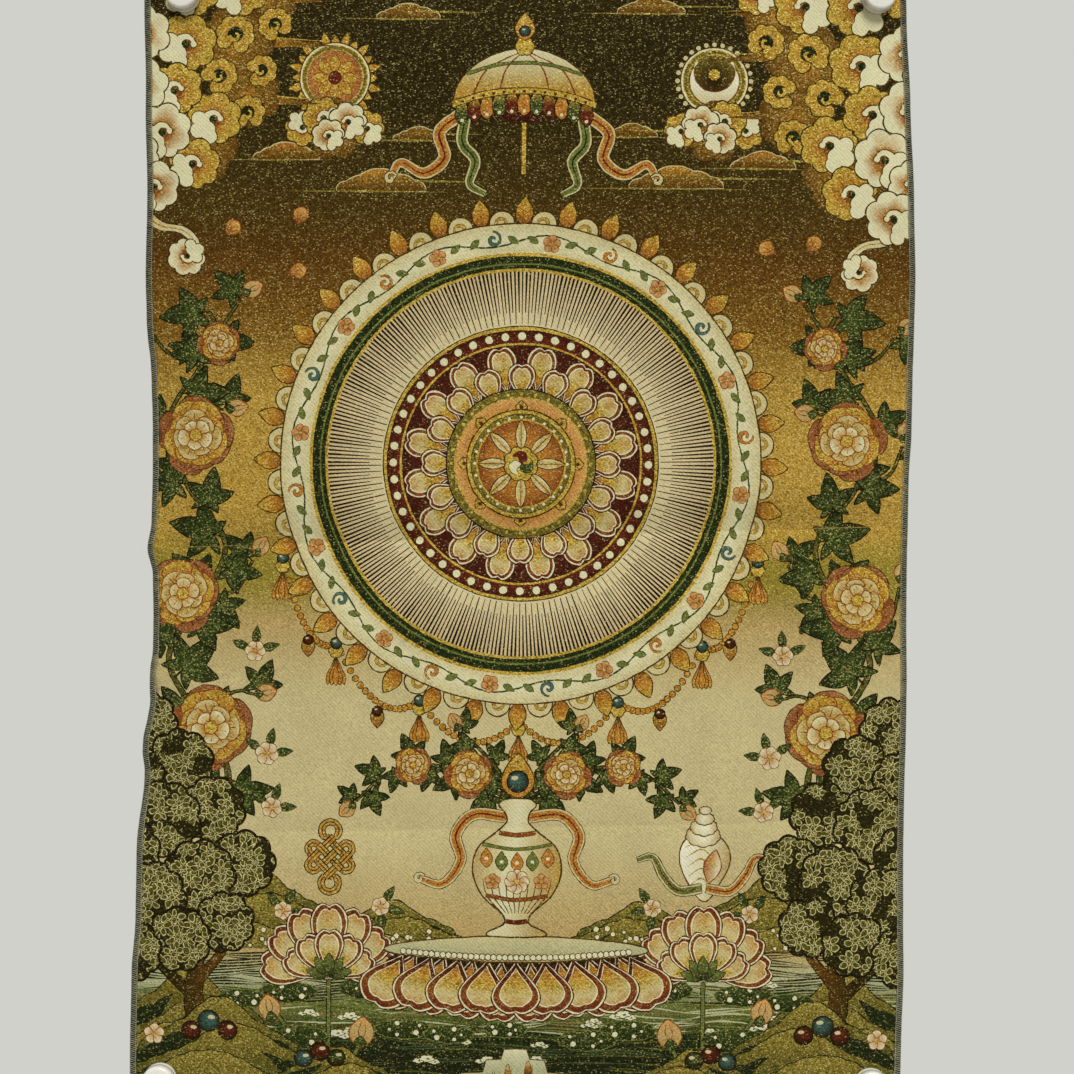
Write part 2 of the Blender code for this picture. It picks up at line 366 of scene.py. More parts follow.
class Pen:
    """Draws shapes from its own place, turned clockwise, enlarged or mirrored."""

    def __init__(self, shapes, move=(0.0, 0.0), matrix=np.eye(2)):
        self.shapes = shapes
        self.move = np.array(move, float)
        self.matrix = matrix

    def at(self, x=0.0, down=0.0, turn=0.0, size=1.0, flip=False):
        cos, sin = math.cos(math.radians(turn)), math.sin(math.radians(turn))
        own = size * np.array([[cos, -sin], [sin, cos]]) @ np.diag([-1.0 if flip else 1.0, 1.0])
        return Pen(self.shapes, self.place([(x, down)])[0], self.matrix @ own)

    def place(self, points):
        return np.asarray(points, float) @ self.matrix.T + self.move

    def fill(self, loop, paint, line=None, width=1.0):
        """One shape, over a slightly larger one of the line's colour where there is a line."""
        if line is not None:
            self.shapes.append(Shape(self, grow(loop, width), line))
        self.shapes.append(Shape(self, loop, paint))

    def sides(self):
        """This pen and its mirror image."""
        return self.at(), self.at(flip=True)

    def around(self, count, start=0.0):
        """This pen turned to each of several even steps round its place."""
        return [self.at(turn=start + 360 * i / count) for i in range(count)]


# Ornaments


def turned(loop, degrees, x=0.0, down=0.0):
    """The outline turned clockwise about the pen's place and then moved."""
    cos, sin = math.cos(math.radians(degrees)), math.sin(math.radians(degrees))
    return np.asarray(loop) @ np.array([[cos, sin], [-sin, cos]]) + (x, down)


def blob(pen, loops, paint, line, width=0.9):
    """Several outlines filled as one form with one line round it."""
    for loop in loops:
        pen.fill(grow(loop, width), line)
    for loop in loops:
        pen.fill(loop, paint)


def pearl(pen, radius, colour=IVORY):
    pen.fill(circle(radius), colour, UMBER, 0.7)


def dots(pen, count, out, radius, colour):
    """A ring of small round dots."""
    for spoke in pen.around(count):
        spoke.at(0, -out).fill(circle(radius), colour)


def scarf_end(pen, radius):
    """The rolled end of a silk scarf."""
    pen.fill(ribbon(curl(radius, 1.1, 300), 1.2, 3, 1.4), CREAM, INK, 0.6)


def floret(pen, radius, petals=5, tip=PINK, root=RUST):
    """A small flower seen from above."""
    for spoke in pen.around(petals):
        spoke.fill(petal(radius, radius * 0.85, 0.66, 0.7), rise(radius, root, tip), RUST, 0.6)
    pen.fill(circle(radius * 0.2), BRIGHT_GOLD)


def bud(pen, length):
    """A closed flower with a rusty outline on a small green cup."""
    pen.fill(petal(length, 0.75 * length, 0.5, 0.8), rise(length, HONEY, SAND, PINK), RUST, 0.9)
    for x in (-0.12, 0.1):
        vein = [(0, -0.25 * length), (x * length, -0.55 * length), (0.4 * x * length, -0.9 * length)]
        pen.fill(ribbon(curve(vein), 0.5, 0.9, 0.3), RUST)
    pen.fill(petal(0.4 * length, 0.4 * length, 0.4), LEAF, INK, 0.5)


def peony(pen, radius, tip=IVORY):
    """A full flower: rings of broad petals, rusty outside, then gold, and pale in the middle."""
    rings = ((1.0, 9, 0, MAROON, RUST, ROSE), (0.84, 8, 21, RUST, HONEY, BRIGHT_GOLD),
             (0.64, 7, 4, RUST, GOLD, CREAM), (0.44, 5, 30, HONEY, CREAM, tip))
    for reach, count, start, *colours in rings:
        for i, spoke in enumerate(pen.around(count, start)):
            length = radius * reach * (0.93 + 0.11 * math.sin(2.7 * i + count))
            paint = fade((0, -0.35 * length), (0, -length), *colours)
            spoke.fill(petal(length, length * 0.9, 0.72, 0.55), paint, UMBER if reach > 0.9 else RUST, 0.8)
            spoke.fill(ribbon([(0, -0.55 * length), (0, -0.86 * length)], 0.4, 0.9), colours[0])
    pen.fill(scallops(radius * 0.15, 5), BRIGHT_GOLD, RUST, 0.8)


LEAF_LOBES = ((-114, 0.46), (-56, 0.8), (-4, 1.0), (48, 0.78), (106, 0.5))


def leaf(pen, length):
    """A dark leaf of five curved lobes with fine pale veins."""
    lobes = [turned(petal(length * share, 0.5 * length * share, 0.42, 0.95, 0.12 + 0.003 * turn), turn)
             for turn, share in LEAF_LOBES]
    blob(pen, lobes, glow(0, length, LEAF, LEAF, FOREST, LEAF), INK, 0.9)
    for turn, share in LEAF_LOBES[1:4]:
        pen.fill(ribbon(turned([(0, 0), (0, -0.7 * length * share)], turn), 0.7, 0.3), SAGE)


def bumps(radius, *places):
    """Rounds about a middle, each at an angle, with its distance and size in shares of the radius."""
    return [circle(radius * size) + polar(radius * out, turn) for turn, out, size in places]


def puff(pen, radius, pale=False):
    """A head of cloud: uneven rounds behind a white comma that curls about a dark eye."""
    rim, body = (IVORY, IVORY) if pale else (BRIGHT_GOLD, CLOUD_GOLD)
    rounds = bumps(radius, (-158, 0.62, 0.3), (-116, 0.66, 0.36), (-70, 0.64, 0.41), (-20, 0.62, 0.42),
                   (30, 0.66, 0.36), (74, 0.62, 0.32), (0, 0, 0.7))
    blob(pen, rounds, glow(0.26 * radius, radius, RUST, HONEY, body, rim, rim), UMBER, 1.1)
    comma = ribbon(arc(0.27 * radius, -84, 130), *(share * radius for share in (0.1, 0.2, 0.3)))
    heads = bumps(radius, (-84, 0.27, 0.1), (80, 0.52, 0.26), (122, 0.66, 0.28), (166, 0.62, 0.26),
                  (146, 0.4, 0.28))
    blob(pen, [comma, *heads], IVORY, BROWN, 0.9)
    pen.fill(circle(0.13 * radius), FOREST)


def pale_puff(pen, radius):
    puff(pen, radius, True)


def hook(pen, radius):
    """A gold curl of cloud that is open to one side."""
    rounds = bumps(radius, *((turn, 0.62, 0.37) for turn in range(-150, 121, 45)))
    blob(pen, rounds, glow(0.25 * radius, radius, HONEY, CLOUD_GOLD, BRIGHT_GOLD), UMBER, 0.9)
    pen.fill(circle(0.4 * radius), glow(0, 0.4 * radius, INK, FOREST))
    pen.fill(ribbon(curl(0.36 * radius, 0.7, 100), 0.24 * radius, 0.08 * radius), BRIGHT_GOLD)


def haze(pen, radius):
    """A soft orange-gold cloud behind the others, with no line round it."""
    paint = glow(0, radius, HONEY, AMBER, AMBER, BROWN)
    for loop in bumps(radius, (0, 0, 0.8), *((turn, 0.64, 0.4) for turn in range(0, 360, 51))):
        pen.fill(loop, paint)


def streak(pen, length, height):
    """A band of cloud that thins out to one side, with a bright upper edge."""
    path = curve([(0, 0), (-0.3 * length, -0.2 * height), (-0.65 * length, 0), (-length, 0.1 * height)])
    paint = fade((0, 0), (-length, 0), HONEY, AMBER, BROWN)
    pen.fill(ribbon(path, height, 0.8 * height, 0.5 * height, 0.2), paint)
    pen.fill(ribbon(path - (0, 0.42 * height), 0.6, 1.2, 0.9, 0.2), CLOUD_GOLD)


Lobe = namedtuple("Lobe", "form x down radius turn")
CLOUD_BANK = [  # from the middle line, for one top corner
    Lobe(haze, 204, 30, 26, 0),
    Lobe(haze, 226, 66, 32, 20),
    Lobe(haze, 214, 108, 26, 40),
    Lobe(haze, 252, 148, 30, 10),
    Lobe(hook, 194, 50, 14, 40),
    Lobe(hook, 204, 88, 13, 300),
    Lobe(hook, 214, 122, 14, 20),
    Lobe(puff, 188, 14, 16, -12),
    Lobe(puff, 224, 22, 23, 0),
    Lobe(hook, 226, 58, 16, 0),
    Lobe(puff, 264, 22, 24, 10),
    Lobe(puff, 303, 14, 20, -10),
    Lobe(hook, 238, 92, 15, 320),
    Lobe(puff, 266, 66, 24, -4),
    Lobe(puff, 242, 128, 22, 4),
    Lobe(pale_puff, 302, 58, 23, 10),
    Lobe(puff, 274, 104, 22, 12),
    Lobe(puff, 258, 164, 21, -6),
    Lobe(pale_puff, 303, 100, 23, -8),
    Lobe(pale_puff, 283, 138, 23, 4),
    Lobe(pale_puff, 305, 156, 19, 12),
    Lobe(pale_puff, 290, 182, 21, 0),
]
CLOUD_SEAT = [Lobe(haze, 0, 6, 24, 0), Lobe(puff, -25, 5, 14, 200), Lobe(puff, 26, 6, 14, 10),
              Lobe(puff, -8, -2, 16, -20), Lobe(pale_puff, 11, 1, 15, 6), Lobe(pale_puff, -4, 12, 13, 0)]


def cloud(pen, lobes):
    for lobe in lobes:
        lobe.form(pen.at(lobe.x, lobe.down, lobe.turn), lobe.radius)


def wisp(pen, length, height, colour=HONEY):
    """Low rounds of cloud with a fine pale line, on a thin line that runs on to both sides."""
    paint = fade((0, -height), (0, 0), colour, AMBER, BROWN)
    heads = []
    for place, size in ((-0.3, 0.42), (0.3, 0.5), (-0.17, 0.68), (0.17, 0.76), (0, 1.0)):
        heads.append(arc(height * size, -90, 90) * (1.25, 1) + (place * length, 0))
    blob(pen, heads, paint, CREAM, 0.7)
    for drop, start, end in ((0.6, -0.85, 0.62), (-0.45 * height, -0.05, 1.0)):
        line = [(start * length, drop), ((start + end) / 2 * length, drop), (end * length, drop)]
        pen.fill(ribbon(line, 0.2, 1.7, 0.2), CREST)


def fallen_petal(pen, length):
    """A single loose petal with fine veins."""
    pen.fill(petal(length, 0.9 * length, 0.6, 0.7), rise(length, ROSE, HONEY, PINK), RUST, 0.8)
    for turn in (-24, 0, 24):
        pen.at(turn=turn).fill(ribbon([(0, -0.2 * length), (0, -0.75 * length)], 0.6, 0.3), RUST)


def lotus_petal(pen, length, width):
    """A lotus petal with a two-part top: a dark band between white lines round a gold heart."""
    band = fade((0, -0.1 * length), (0, -length), WINE, MAROON, RUST, MAROON)
    heart = fade((0, -0.1 * length), (0, -0.92 * length), RUST, HONEY, BRIGHT_GOLD, CREAM, HONEY)
    edge = 0.13 * width
    for inset, paint in ((-0.9, WINE), (0.0, IVORY), (1.0, band), (edge, IVORY), (edge + 0.9, heart)):
        lobe = petal(length - 2 * inset, 0.66 * (width - 2 * inset), 0.7, 0.62)
        lean = math.degrees(0.17 * (width - 2 * inset) / length)
        for side in (-lean, lean):
            pen.fill(turned(lobe, side, 0, -inset), paint)


def blossom(pen, size):
    """An open lotus seen from the side, on its cup of sepals."""
    for turn in (-84, 84, -56, 56, -28, 28, 0):
        lotus_petal(pen.at(turn=turn), size, 0.58 * size)
    for turn in (-62, 62, -32, 32, 0):
        lotus_petal(pen.at(0, 0.1 * size, turn), 0.72 * size, 0.46 * size)
    for turn in (-74, 74, -36, 36, 0):
        sepal = pen.at(0, 0.06 * size, turn)
        sepal.fill(petal(0.34 * size, 0.16 * size, 0.5), rise(0.3 * size, FOREST, SAGE), INK, 0.6)


def lily_pad(pen, width):
    """A round floating leaf seen low, with drops of dew."""
    paint = fade((0, -0.2 * width), (0, 0.2 * width), LEAF, FOREST)
    pen.fill(scallops(width / 2, 11, 0.08) * (1, 0.36), paint, SAGE, 0.7)
    for turn, out, size in ((20, 0.3, 1.9), (96, 0.24, 1.2), (160, 0.3, 1.6), (232, 0.3, 2.2),
                            (300, 0.34, 1.4)):
        drop = pen.at(*(polar(out * width, turn) * (1, 0.36)))
        drop.fill(circle(size), IVORY, INK, 0.4)


def jewel(pen, radius, colour):
    """A round jewel, dark towards its rim, with a small light."""
    pen.fill(circle(radius), glow(0, radius, colour, colour, INK), INK, 0.6)
    pen.at(-0.28 * radius, -0.36 * radius).fill(circle(0.26 * radius) * (1.3, 0.8), FOAM)


def streamer(pen, points, width, colour, lining):
    """A silk streamer with a pale hem."""
    path = curve(points)
    pen.fill(ribbon(path, width + 2.4, width + 2.4, 0.8 * width), CREAM, INK, 0.6)
    pen.fill(ribbon(path, width, width, 0.5 * width), colour)
    pen.fill(ribbon(path[1:-1], 0.16 * width, 0.22 * width, 0.1), lining)


RAYS = 300


def medallion(pen):
    """The large round centre: a wheel on lotus petals, with a band of rays and a scrolled border."""
    for spoke in pen.around(36):
        tip = spoke.at(0, -186, 5)
        tip.fill(petal(22, 13, 0.45, 0.9), rise(22, RUST, HONEY, BRIGHT_GOLD), UMBER, 0.9)
    for spoke in pen.around(36, 5):
        lobe = spoke.at(0, -188)
        lobe.fill(circle(9.4), CREAM, UMBER, 1.1)
        lobe.fill(ribbon(curl(6.2, 1.1, 200), 1.0, 2.6, 1.2), GOLD, BROWN, 0.4)
    pen.fill(circle(187), glow(163, 187, HALO, IVORY, HALO), UMBER, 1.2)
    border_scroll(pen)
    for radius, colour in ((165, BRIGHT_GOLD), (162.6, FOREST), (157, SAGE), (155.6, FOREST),
                           (152.6, BRIGHT_GOLD)):
        pen.fill(circle(radius), colour)
    pen.fill(circle(150.4), RAY_LIGHT)
    for i, ray in enumerate(pen.around(RAYS)):
        inner = 109 + 9 * (i % 2)
        wedge = [(-0.3, -inner), (0.3, -inner), (0.78, -150.4), (-0.78, -150.4)]
        ray.fill(np.array(wedge), INK)
    pen.fill(circle(107), BRIGHT_GOLD, INK, 0.8)
    pen.fill(circle(104.6), glow(94, 105, MAROON, WINE))
    for spoke in pen.around(48):
        pearl(spoke.at(0, -99.6), 3.1)
    pen.fill(circle(94.6), BRIGHT_GOLD)
    pen.fill(circle(93), glow(50, 93, MAROON, WINE))
    for spoke in pen.around(16, 11.25):
        lotus_petal(spoke.at(0, -54), 38, 25)
    for spoke in pen.around(16):
        lotus_petal(spoke.at(0, -48), 30, 23)
    pen.fill(circle(58), OLIVE, INK, 1.0)
    dots(pen, 32, 54.4, 1.5, BRIGHT_GOLD)
    pen.fill(circle(51), glow(6, 51, BRIGHT_GOLD, HONEY, HONEY, ORANGE, PINK), BRIGHT_GOLD, 1.2)
    wheel(pen)


def garlands(pen):
    """Strings of pearls that hang between tassels from the lower rim of the centre."""
    hooks = [polar(201, turn) for turn in np.linspace(112, 248, 7)]
    for (x, down), (other_x, other_down) in zip(hooks, hooks[1:]):
        span = math.hypot(other_x - x, other_down - down)
        for share in np.linspace(0, 1, round(span / 4.6) + 1):
            sag = 4 * 0.3 * span * share * (1 - share)
            pearl(pen.at(x + (other_x - x) * share, down + (other_down - down) * share + sag), 2.3, HONEY)
        low = pen.at((x + other_x) / 2, (down + other_down) / 2 + 0.3 * span + 7)
        low.at(0, -4, 180).fill(petal(17, 10, 0.5), rise(17, BRIGHT_GOLD, RUST), UMBER, 0.8)
        jewel(low, 3.8, MAROON)
    for x, down in hooks:
        tassel = pen.at(x, down)
        for turn in (164, 196, 172, 188, 180):
            tassel.at(0, 9, turn).fill(petal(24, 4.6, 0.75), rise(24, RUST, ORANGE, HONEY), UMBER, 0.6)
        tassel.at(0, 6).fill(scallops(5.4, 6), BRIGHT_GOLD, UMBER, 0.8)
        jewel(tassel, 4.4, TEAL)


def border_scroll(pen):
    """A vine that waves round the border, with a flower or a curled leaf in each bend."""
    turns = np.arange(0, 360, 1.0)
    line = polar(175 + 4.5 * np.sin(np.radians(turns * 12)), turns)
    pen.fill(ribbon(np.concatenate([line, line[:1]]), 1.3), LEAF)
    for spoke in pen.around(12, 7.5):
        floret(spoke.at(0, -173.4), 6.8, 5, PINK, ROSE)
    for i, spoke in enumerate(pen.around(12, 22.5)):
        colour = TEAL if i % 2 else ORANGE
        spoke.at(0, -176.4).fill(ribbon(curl(6.4, 1.2, 0), 0.9, 3.0, 1.0), colour, BROWN, 0.4)
    for start, down, turn in ((11, -173, 64), (4, -173, -64), (26.2, -178, 128), (18.8, -178, -128)):
        for spoke in pen.around(12, start):
            spoke.at(0, down, turn).fill(petal(10, 5, 0.45), SAGE, FOREST, 0.4)


def wheel(pen):
    """An eight-spoked wheel with jewelled ends and a three-part swirl at its hub."""
    for spoke in pen.around(8):
        end = spoke.at(0, -41)
        end.fill(petal(8, 9, 0.4), BRIGHT_GOLD, UMBER, 0.8)
        end.at(0, -3.4).fill(circle(1.7), MAROON)
    pen.fill(circle(42), BRIGHT_GOLD, UMBER, 1.1)
    pen.fill(circle(38.6), OLIVE, UMBER, 0.6)
    dots(pen, 24, 36.2, 1.3, IVORY)
    pen.fill(circle(33.8), glow(8, 34, HONEY, ORANGE, RUST), BRIGHT_GOLD, 1.4)
    for spoke in pen.around(8):
        arm = petal(24, 7.6, 0.5, 0.8)
        spoke.at(0, -10).fill(arm, rise(24, BRIGHT_GOLD, IVORY, BRIGHT_GOLD), UMBER, 0.8)
        spoke.fill(ribbon([(0, -12), (0, -33)], 0.7), RUST)
    pen.fill(scallops(13.4, 8), BRIGHT_GOLD, UMBER, 0.9)
    for spoke, colour in zip(pen.around(3), (MAROON, LEAF, IVORY)):
        comma = [(0, 0), (4.5, -3.2), (3.4, -8.6), (-2, -9.4), (-6.6, -6), (-2.6, -5.6), (-1, -2.6)]
        spoke.fill(curve(comma, True), colour, UMBER, 0.5)


def parasol(pen):
    """A jewelled parasol seen from the side, with a hanging valance and two long streamers."""
    pen.fill(ribbon([(0, -10), (0, 58)], 3.4), BRIGHT_GOLD, UMBER, 0.8)
    for side in pen.sides():
        streamer(side, [(50, 12), (66, 26), (62, 46), (78, 58), (96, 50), (104, 62)], 7.5, ORANGE, MAROON)
        streamer(side, [(46, 14), (48, 34), (38, 48), (42, 66), (30, 74)], 6.5, SAGE, FOREST)
        scarf_end(side.at(104, 62), 5)
    pen.fill(curve([(-52, 6), (0, 18), (52, 6), (30, -4), (-30, -4)], True), WINE)
    dome = np.concatenate([curve([(-56, 6), (-50, -14), (-30, -32), (0, -40), (30, -32), (50, -14), (56, 6)]),
                           curve([(56, 6), (30, -2), (0, -5), (-30, -2), (-56, 6)])[1:-1]])
    pen.fill(dome, fade((0, -40), (0, 6), IVORY, CREAM, GOLD, HONEY), UMBER, 1.2)
    for reach in (-38, -19, 19, 38):
        rib = curve([(0, -39), (0.75 * reach, -24), (1.08 * reach, -2)])
        pen.fill(ribbon(rib, 0.8, 1.6), RUST)
    pen.fill(ribbon(curve([(-45, -20), (-22, -27), (0, -29), (22, -27), (45, -20)]), 2.2), SAGE, UMBER, 0.5)
    for i in range(-5, 6):
        drop = pen.at(i * 9.7, 3.2 - 0.075 * (25 - i * i) * 4.2, 180)
        colour = (ORANGE, LEAF, MAROON)[i % 3]
        drop.at(0, 4).fill(petal(21, 10.4, 0.6, 0.6), rise(21, BRIGHT_GOLD, colour, colour), INK, 0.7)
        drop.at(0, -13.6).fill(circle(1.5), IVORY)
    hem = curve([(-56, 4), (-30, -4), (0, -7), (30, -4), (56, 4)])
    pen.fill(ribbon(hem, 4.2), BRIGHT_GOLD, UMBER, 0.8)
    for x in range(-48, 49, 8):
        pen.at(x, -6.6 + 0.0036 * x * x).fill(circle(1.3), MAROON)
    knob = pen.at(0, -42)
    knob.fill(scallops(7.5, 6), BRIGHT_GOLD, UMBER, 0.9)
    knob.at(0, -5).fill(petal(22, 15, 0.4, 0.9), rise(22, ORANGE, BRIGHT_GOLD), UMBER, 0.8)
    jewel(knob.at(0, -12), 4.2, TEAL)


def sun(pen):
    for i, spoke in enumerate(pen.around(24)):
        length = 12 if i % 2 else 8
        spoke.at(0, -25).fill(petal(length, 6, 0.36), rise(length, HONEY, BRIGHT_GOLD), UMBER, 0.7)
    pen.fill(circle(27), IVORY, UMBER, 1.0)
    pen.fill(circle(25), OLIVE, BRIGHT_GOLD, 0.8)
    pen.fill(circle(21.5), glow(0, 22, BRIGHT_GOLD, HONEY, ORANGE, ROSE), BRIGHT_GOLD, 0.9)
    for spoke in pen.around(8):
        spoke.at(0, -4).fill(petal(14, 8, 0.5), rise(14, HONEY, BRIGHT_GOLD), RUST, 0.6)
    pen.fill(circle(5.4), MAROON, BRIGHT_GOLD, 1.0)


def moon(pen):
    dots(pen, 28, 28.6, 1.9, CREAM)
    pen.fill(circle(26), IVORY, UMBER, 1.0)
    pen.fill(circle(24), OLIVE, BRIGHT_GOLD, 0.8)
    pen.fill(circle(20.5), glow(0, 21, INK, UMBER, OLIVE), BRIGHT_GOLD, 0.9)
    crescent = np.concatenate([arc(19, 40, 320), (arc(16.4, 306, 54) + (0, -7.4))[1:-1]])
    pen.fill(crescent, fade((0, -16), (0, 18), IVORY, WHITE, CREAM), RUST, 0.6)
    pen.at(0, -5).fill(scallops(4.6, 8), BRIGHT_GOLD)


STEM = [(252, 704), (226, 640), (252, 590), (274, 545), (248, 500), (232, 455), (262, 408), (276, 360),
        (250, 318), (238, 292), (244, 276)]
TWIGS = [
    [(250, 590), (222, 572), (206, 574)],
    [(268, 532), (290, 512), (297, 486)],
    [(246, 500), (222, 492), (210, 470)],
    [(262, 408), (288, 398), (298, 376)],
    [(270, 372), (244, 352), (232, 352)],
    [(236, 640), (262, 636), (290, 616)],
    [(246, 302), (232, 284), (220, 266)],
    [(250, 318), (276, 308), (292, 290)],
]


def spray(pen, points, leaves, length, width=3.6):
    """A stem with leaves that stand to either side by turns, smaller towards its tip."""
    stem = curve(points)
    pen.fill(ribbon(stem, width, 0.8 * width, 0.45 * width), MOSS, INK, 0.8)
    for i, spot in enumerate(np.linspace(4, len(stem) - 1, leaves).astype(int)):
        run = stem[spot] - stem[spot - 1]
        heading = math.degrees(math.atan2(run[0], -run[1]))
        size = length * (1.06 + 0.14 * math.sin(2.4 * i) - 0.25 * i / leaves)
        side = pen.at(*stem[spot], heading + (60 if i % 2 else -66) + 14 * math.sin(1.7 * i))
        side.fill(ribbon([(0, 0), (0, -0.4 * size)], 1.7), FOREST)
        leaf(side.at(0, -0.32 * size), size)


def vine(pen):
    """A flowering stem with dark leaves that climbs beside the centre."""
    for twig in TWIGS:
        spray(pen, twig, 2, 22, 2.2)
    spray(pen, STEM, 20, 31, 4.2)
    peony(pen.at(240, 600, 10), 34)
    peony(pen.at(264, 496, 40), 30, CREAM)
    peony(pen.at(254, 372, 0), 31)
    peony(pen.at(236, 300, 20), 17, CREAM)
    for x, down, turn in ((294, 286, 60), (218, 262, 300), (206, 574, 280), (297, 482, 20), (208, 466, 330),
                          (298, 372, 20), (230, 352, 280)):
        bud(pen.at(x, down, turn), 17)


def knot(pen, pitch=9.0, width=4.4):
    """An endless knot: three strands each way, joined in loops, over and under by turns."""
    across = pen.at(turn=-45)
    reach = 1.5 * pitch
    lanes = (-pitch, 0.0, pitch)

    def strand(line):
        across.fill(ribbon(line, width), glow(0, 2 * pitch, BRIGHT_GOLD, GOLD, HONEY), INK, 0.8)
        across.fill(ribbon(line, 0.9), MAROON)

    for turn in (0, 180):
        half = across.at(turn=turn)
        loop = arc(0.5 * pitch, -90, 90) + (-0.5 * pitch, -reach)
        side = arc(0.5 * pitch, 0, 180) + (reach, 0.5 * pitch)
        corner = arc(0.75 * pitch, -90, 180) + (1.6 * pitch, -1.6 * pitch)
        corner = np.concatenate([[(pitch, -reach)], corner, [(reach, -pitch)]])
        for line in (loop, side, corner):
            half.fill(ribbon(line, width), GOLD, INK, 0.8)
            half.fill(ribbon(line, 0.9), MAROON)
    for lane in lanes:
        strand([(lane, -reach), (lane, 0), (lane, reach)])
    for lane in lanes:
        strand([(-reach, lane), (0, lane), (reach, lane)])
    for i, x in enumerate(lanes):
        for j, down in enumerate(lanes):
            if (i + j) % 2:
                strand([(x, down - 0.42 * pitch), (x, down), (x, down + 0.42 * pitch)])


def conch(pen):
    """A white shell with a rosy mouth, ribs and a coiled top."""
    body = curve([(0, 34), (-13, 18), (-19, 0), (-14, -14), (0, -20), (15, -13), (20, 2), (12, 20)], True)
    pen.fill(body, fade((-16, 0), (18, 6), WHITE, IVORY, SAND), BROWN, 1.1)
    for i in range(5):
        rib = curve([(-15 + i, -8 + 7.5 * i), (-2, -14 + 7.5 * i), (9 - i, -6 + 7.5 * i)])
        pen.fill(ribbon(rib, 0.5, 1.3, 0.5), GOLD)
    pen.at(7, 4, 12).fill(petal(26, 13, 0.5) + (0, 16), fade((-6, 0), (6, 0), ROSE, PINK, IVORY), RUST, 0.9)
    for i, radius in enumerate((13.5, 10.5, 7.5, 4.6)):
        coil = pen.at(-1 + 0.5 * i, -17 - 6.6 * i)
        coil.fill(scallops(radius, 9, 0.08) * (1, 0.62), glow(0, radius, WHITE, IVORY, SAND), BROWN, 0.9)
    for flip, colour in ((False, ORANGE), (True, SAGE)):
        side = pen.at(0, 24, flip=flip)
        streamer(side, [(2, 0), (20, 2), (32, -10), (40, -24), (52, -22)], 5, colour, MAROON)


VASE_SIDE = [(8, -64), (14, -60), (9, -54), (8, -46), (16, -38), (30, -26), (34, -8), (27, 10), (14, 22),
             (9, 28), (10, 34), (22, 42)]


def vase(pen):
    """A treasure vase with bands, a scarf and a spray of flowers and jewels."""
    for side in pen.sides():
        spray(side, [(0, -58), (30, -78), (66, -90), (100, -84), (126, -62)], 11, 19, 2.6)
        spray(side, [(0, -58), (18, -90), (44, -116)], 5, 18, 2.2)
        peony(side.at(38, -84, 20), 19)
        peony(side.at(82, -90, 50), 15, CREAM)
        bud(side.at(127, -60, 130), 15)
        bud(side.at(46, -118, 30), 14)
    pen.at(0, -66).fill(petal(34, 25, 0.36, 0.85), rise(34, ORANGE, HONEY, BRIGHT_GOLD), UMBER, 0.9)
    jewel(pen.at(0, -78), 8.4, TEAL)
    for side in pen.sides():
        streamer(side, [(8, -50), (34, -52), (48, -36), (44, -16), (58, 2), (76, -2)], 6.5, ORANGE, MAROON)
        scarf_end(side.at(76, -2), 4.4)
    outline = curve([(x, down) for x, down in VASE_SIDE] + [(-x, down) for x, down in VASE_SIDE[::-1]], True)
    pen.fill(outline, fade((-34, -10), (34, 0), SAND, CREAM, IVORY, CREAM, SAND, GOLD), UMBER, 1.3)
    for x in range(-27, 28, 6):
        rib = curve([(0.4 * x, 25), (0.85 * x, 12), (x, -2)])
        pen.fill(ribbon(rib, 0.5, 1.1, 0.5), BROWN)
    for down, half, width, colour in ((-38, 14, 3, RUST), (-29, 27, 2, SAGE), (11, 24, 2.4, RUST),
                                      (31, 8, 3, MAROON)):
        band = curve([(-half, down), (0, down + 0.14 * half), (half, down)])
        pen.fill(ribbon(band, width), colour, UMBER, 0.5)
    for i, x in enumerate((-24, -12, 0, 12, 24)):
        drop = pen.at(x, -26 + 0.006 * (576 - x * x), 180)
        drop.fill(petal(15, 9.6, 0.55), (ORANGE, SAGE)[i % 2], UMBER, 0.6)
        drop.at(0, -8).fill(circle(1.5), IVORY)
    floret(pen.at(0, 0), 9.5, 8, IVORY, ORANGE)
    for x in (-19, 19):
        floret(pen.at(x, 0), 6, 5, PINK, ROSE)


def lotus_seat(pen, half_width, side_petals=4):
    """Two rows of lotus petals that fan out from the middle, under a beaded top."""
    backing = curve([(-half_width, -6), (half_width, -6), (half_width - 6, 24), (0, 38),
                     (6 - half_width, 24)], True)
    pen.fill(backing, fade((0, -8), (0, 30), INK, WINE))
    order = sorted(range(-side_petals, side_petals + 1), key=lambda i: -abs(i))
    for i in order:
        share = (i + 0.5) / side_petals
        if share < 1:
            lotus_petal(pen.at(share * half_width, -8 * abs(share), 180 - 34 * share), 49, 38)
    for i in order:
        share = i / side_petals
        lotus_petal(pen.at(share * half_width, -5 * abs(share), 180 - 30 * share), 42 + 4 * abs(share), 42)
    seat = curve([(-half_width - 8, -6), (0, 1), (half_width + 8, -6), (half_width - 4, -14), (0, -19),
                  (4 - half_width, -14)], True)
    pen.fill(seat, fade((0, -18), (0, 0), CREAM, STONE, SAND), UMBER, 1.2)
    beads = 5 * side_petals
    for i in range(-beads, beads + 1):
        share = i / beads
        pearl(pen.at(share * half_width, -2.4 - 5 * share * share), 2.1)


GROVE = [  # the x, depth and radius of each crown of the tree beside one edge
    (292, 598, 25),
    (264, 628, 26),
    (303, 640, 26),
    (238, 664, 25),
    (276, 672, 29),
    (214, 706, 25),
    (304, 698, 25),
    (248, 716, 28),
    (286, 734, 28),
    (228, 752, 23),
    (264, 766, 25),
    (302, 776, 24),
]


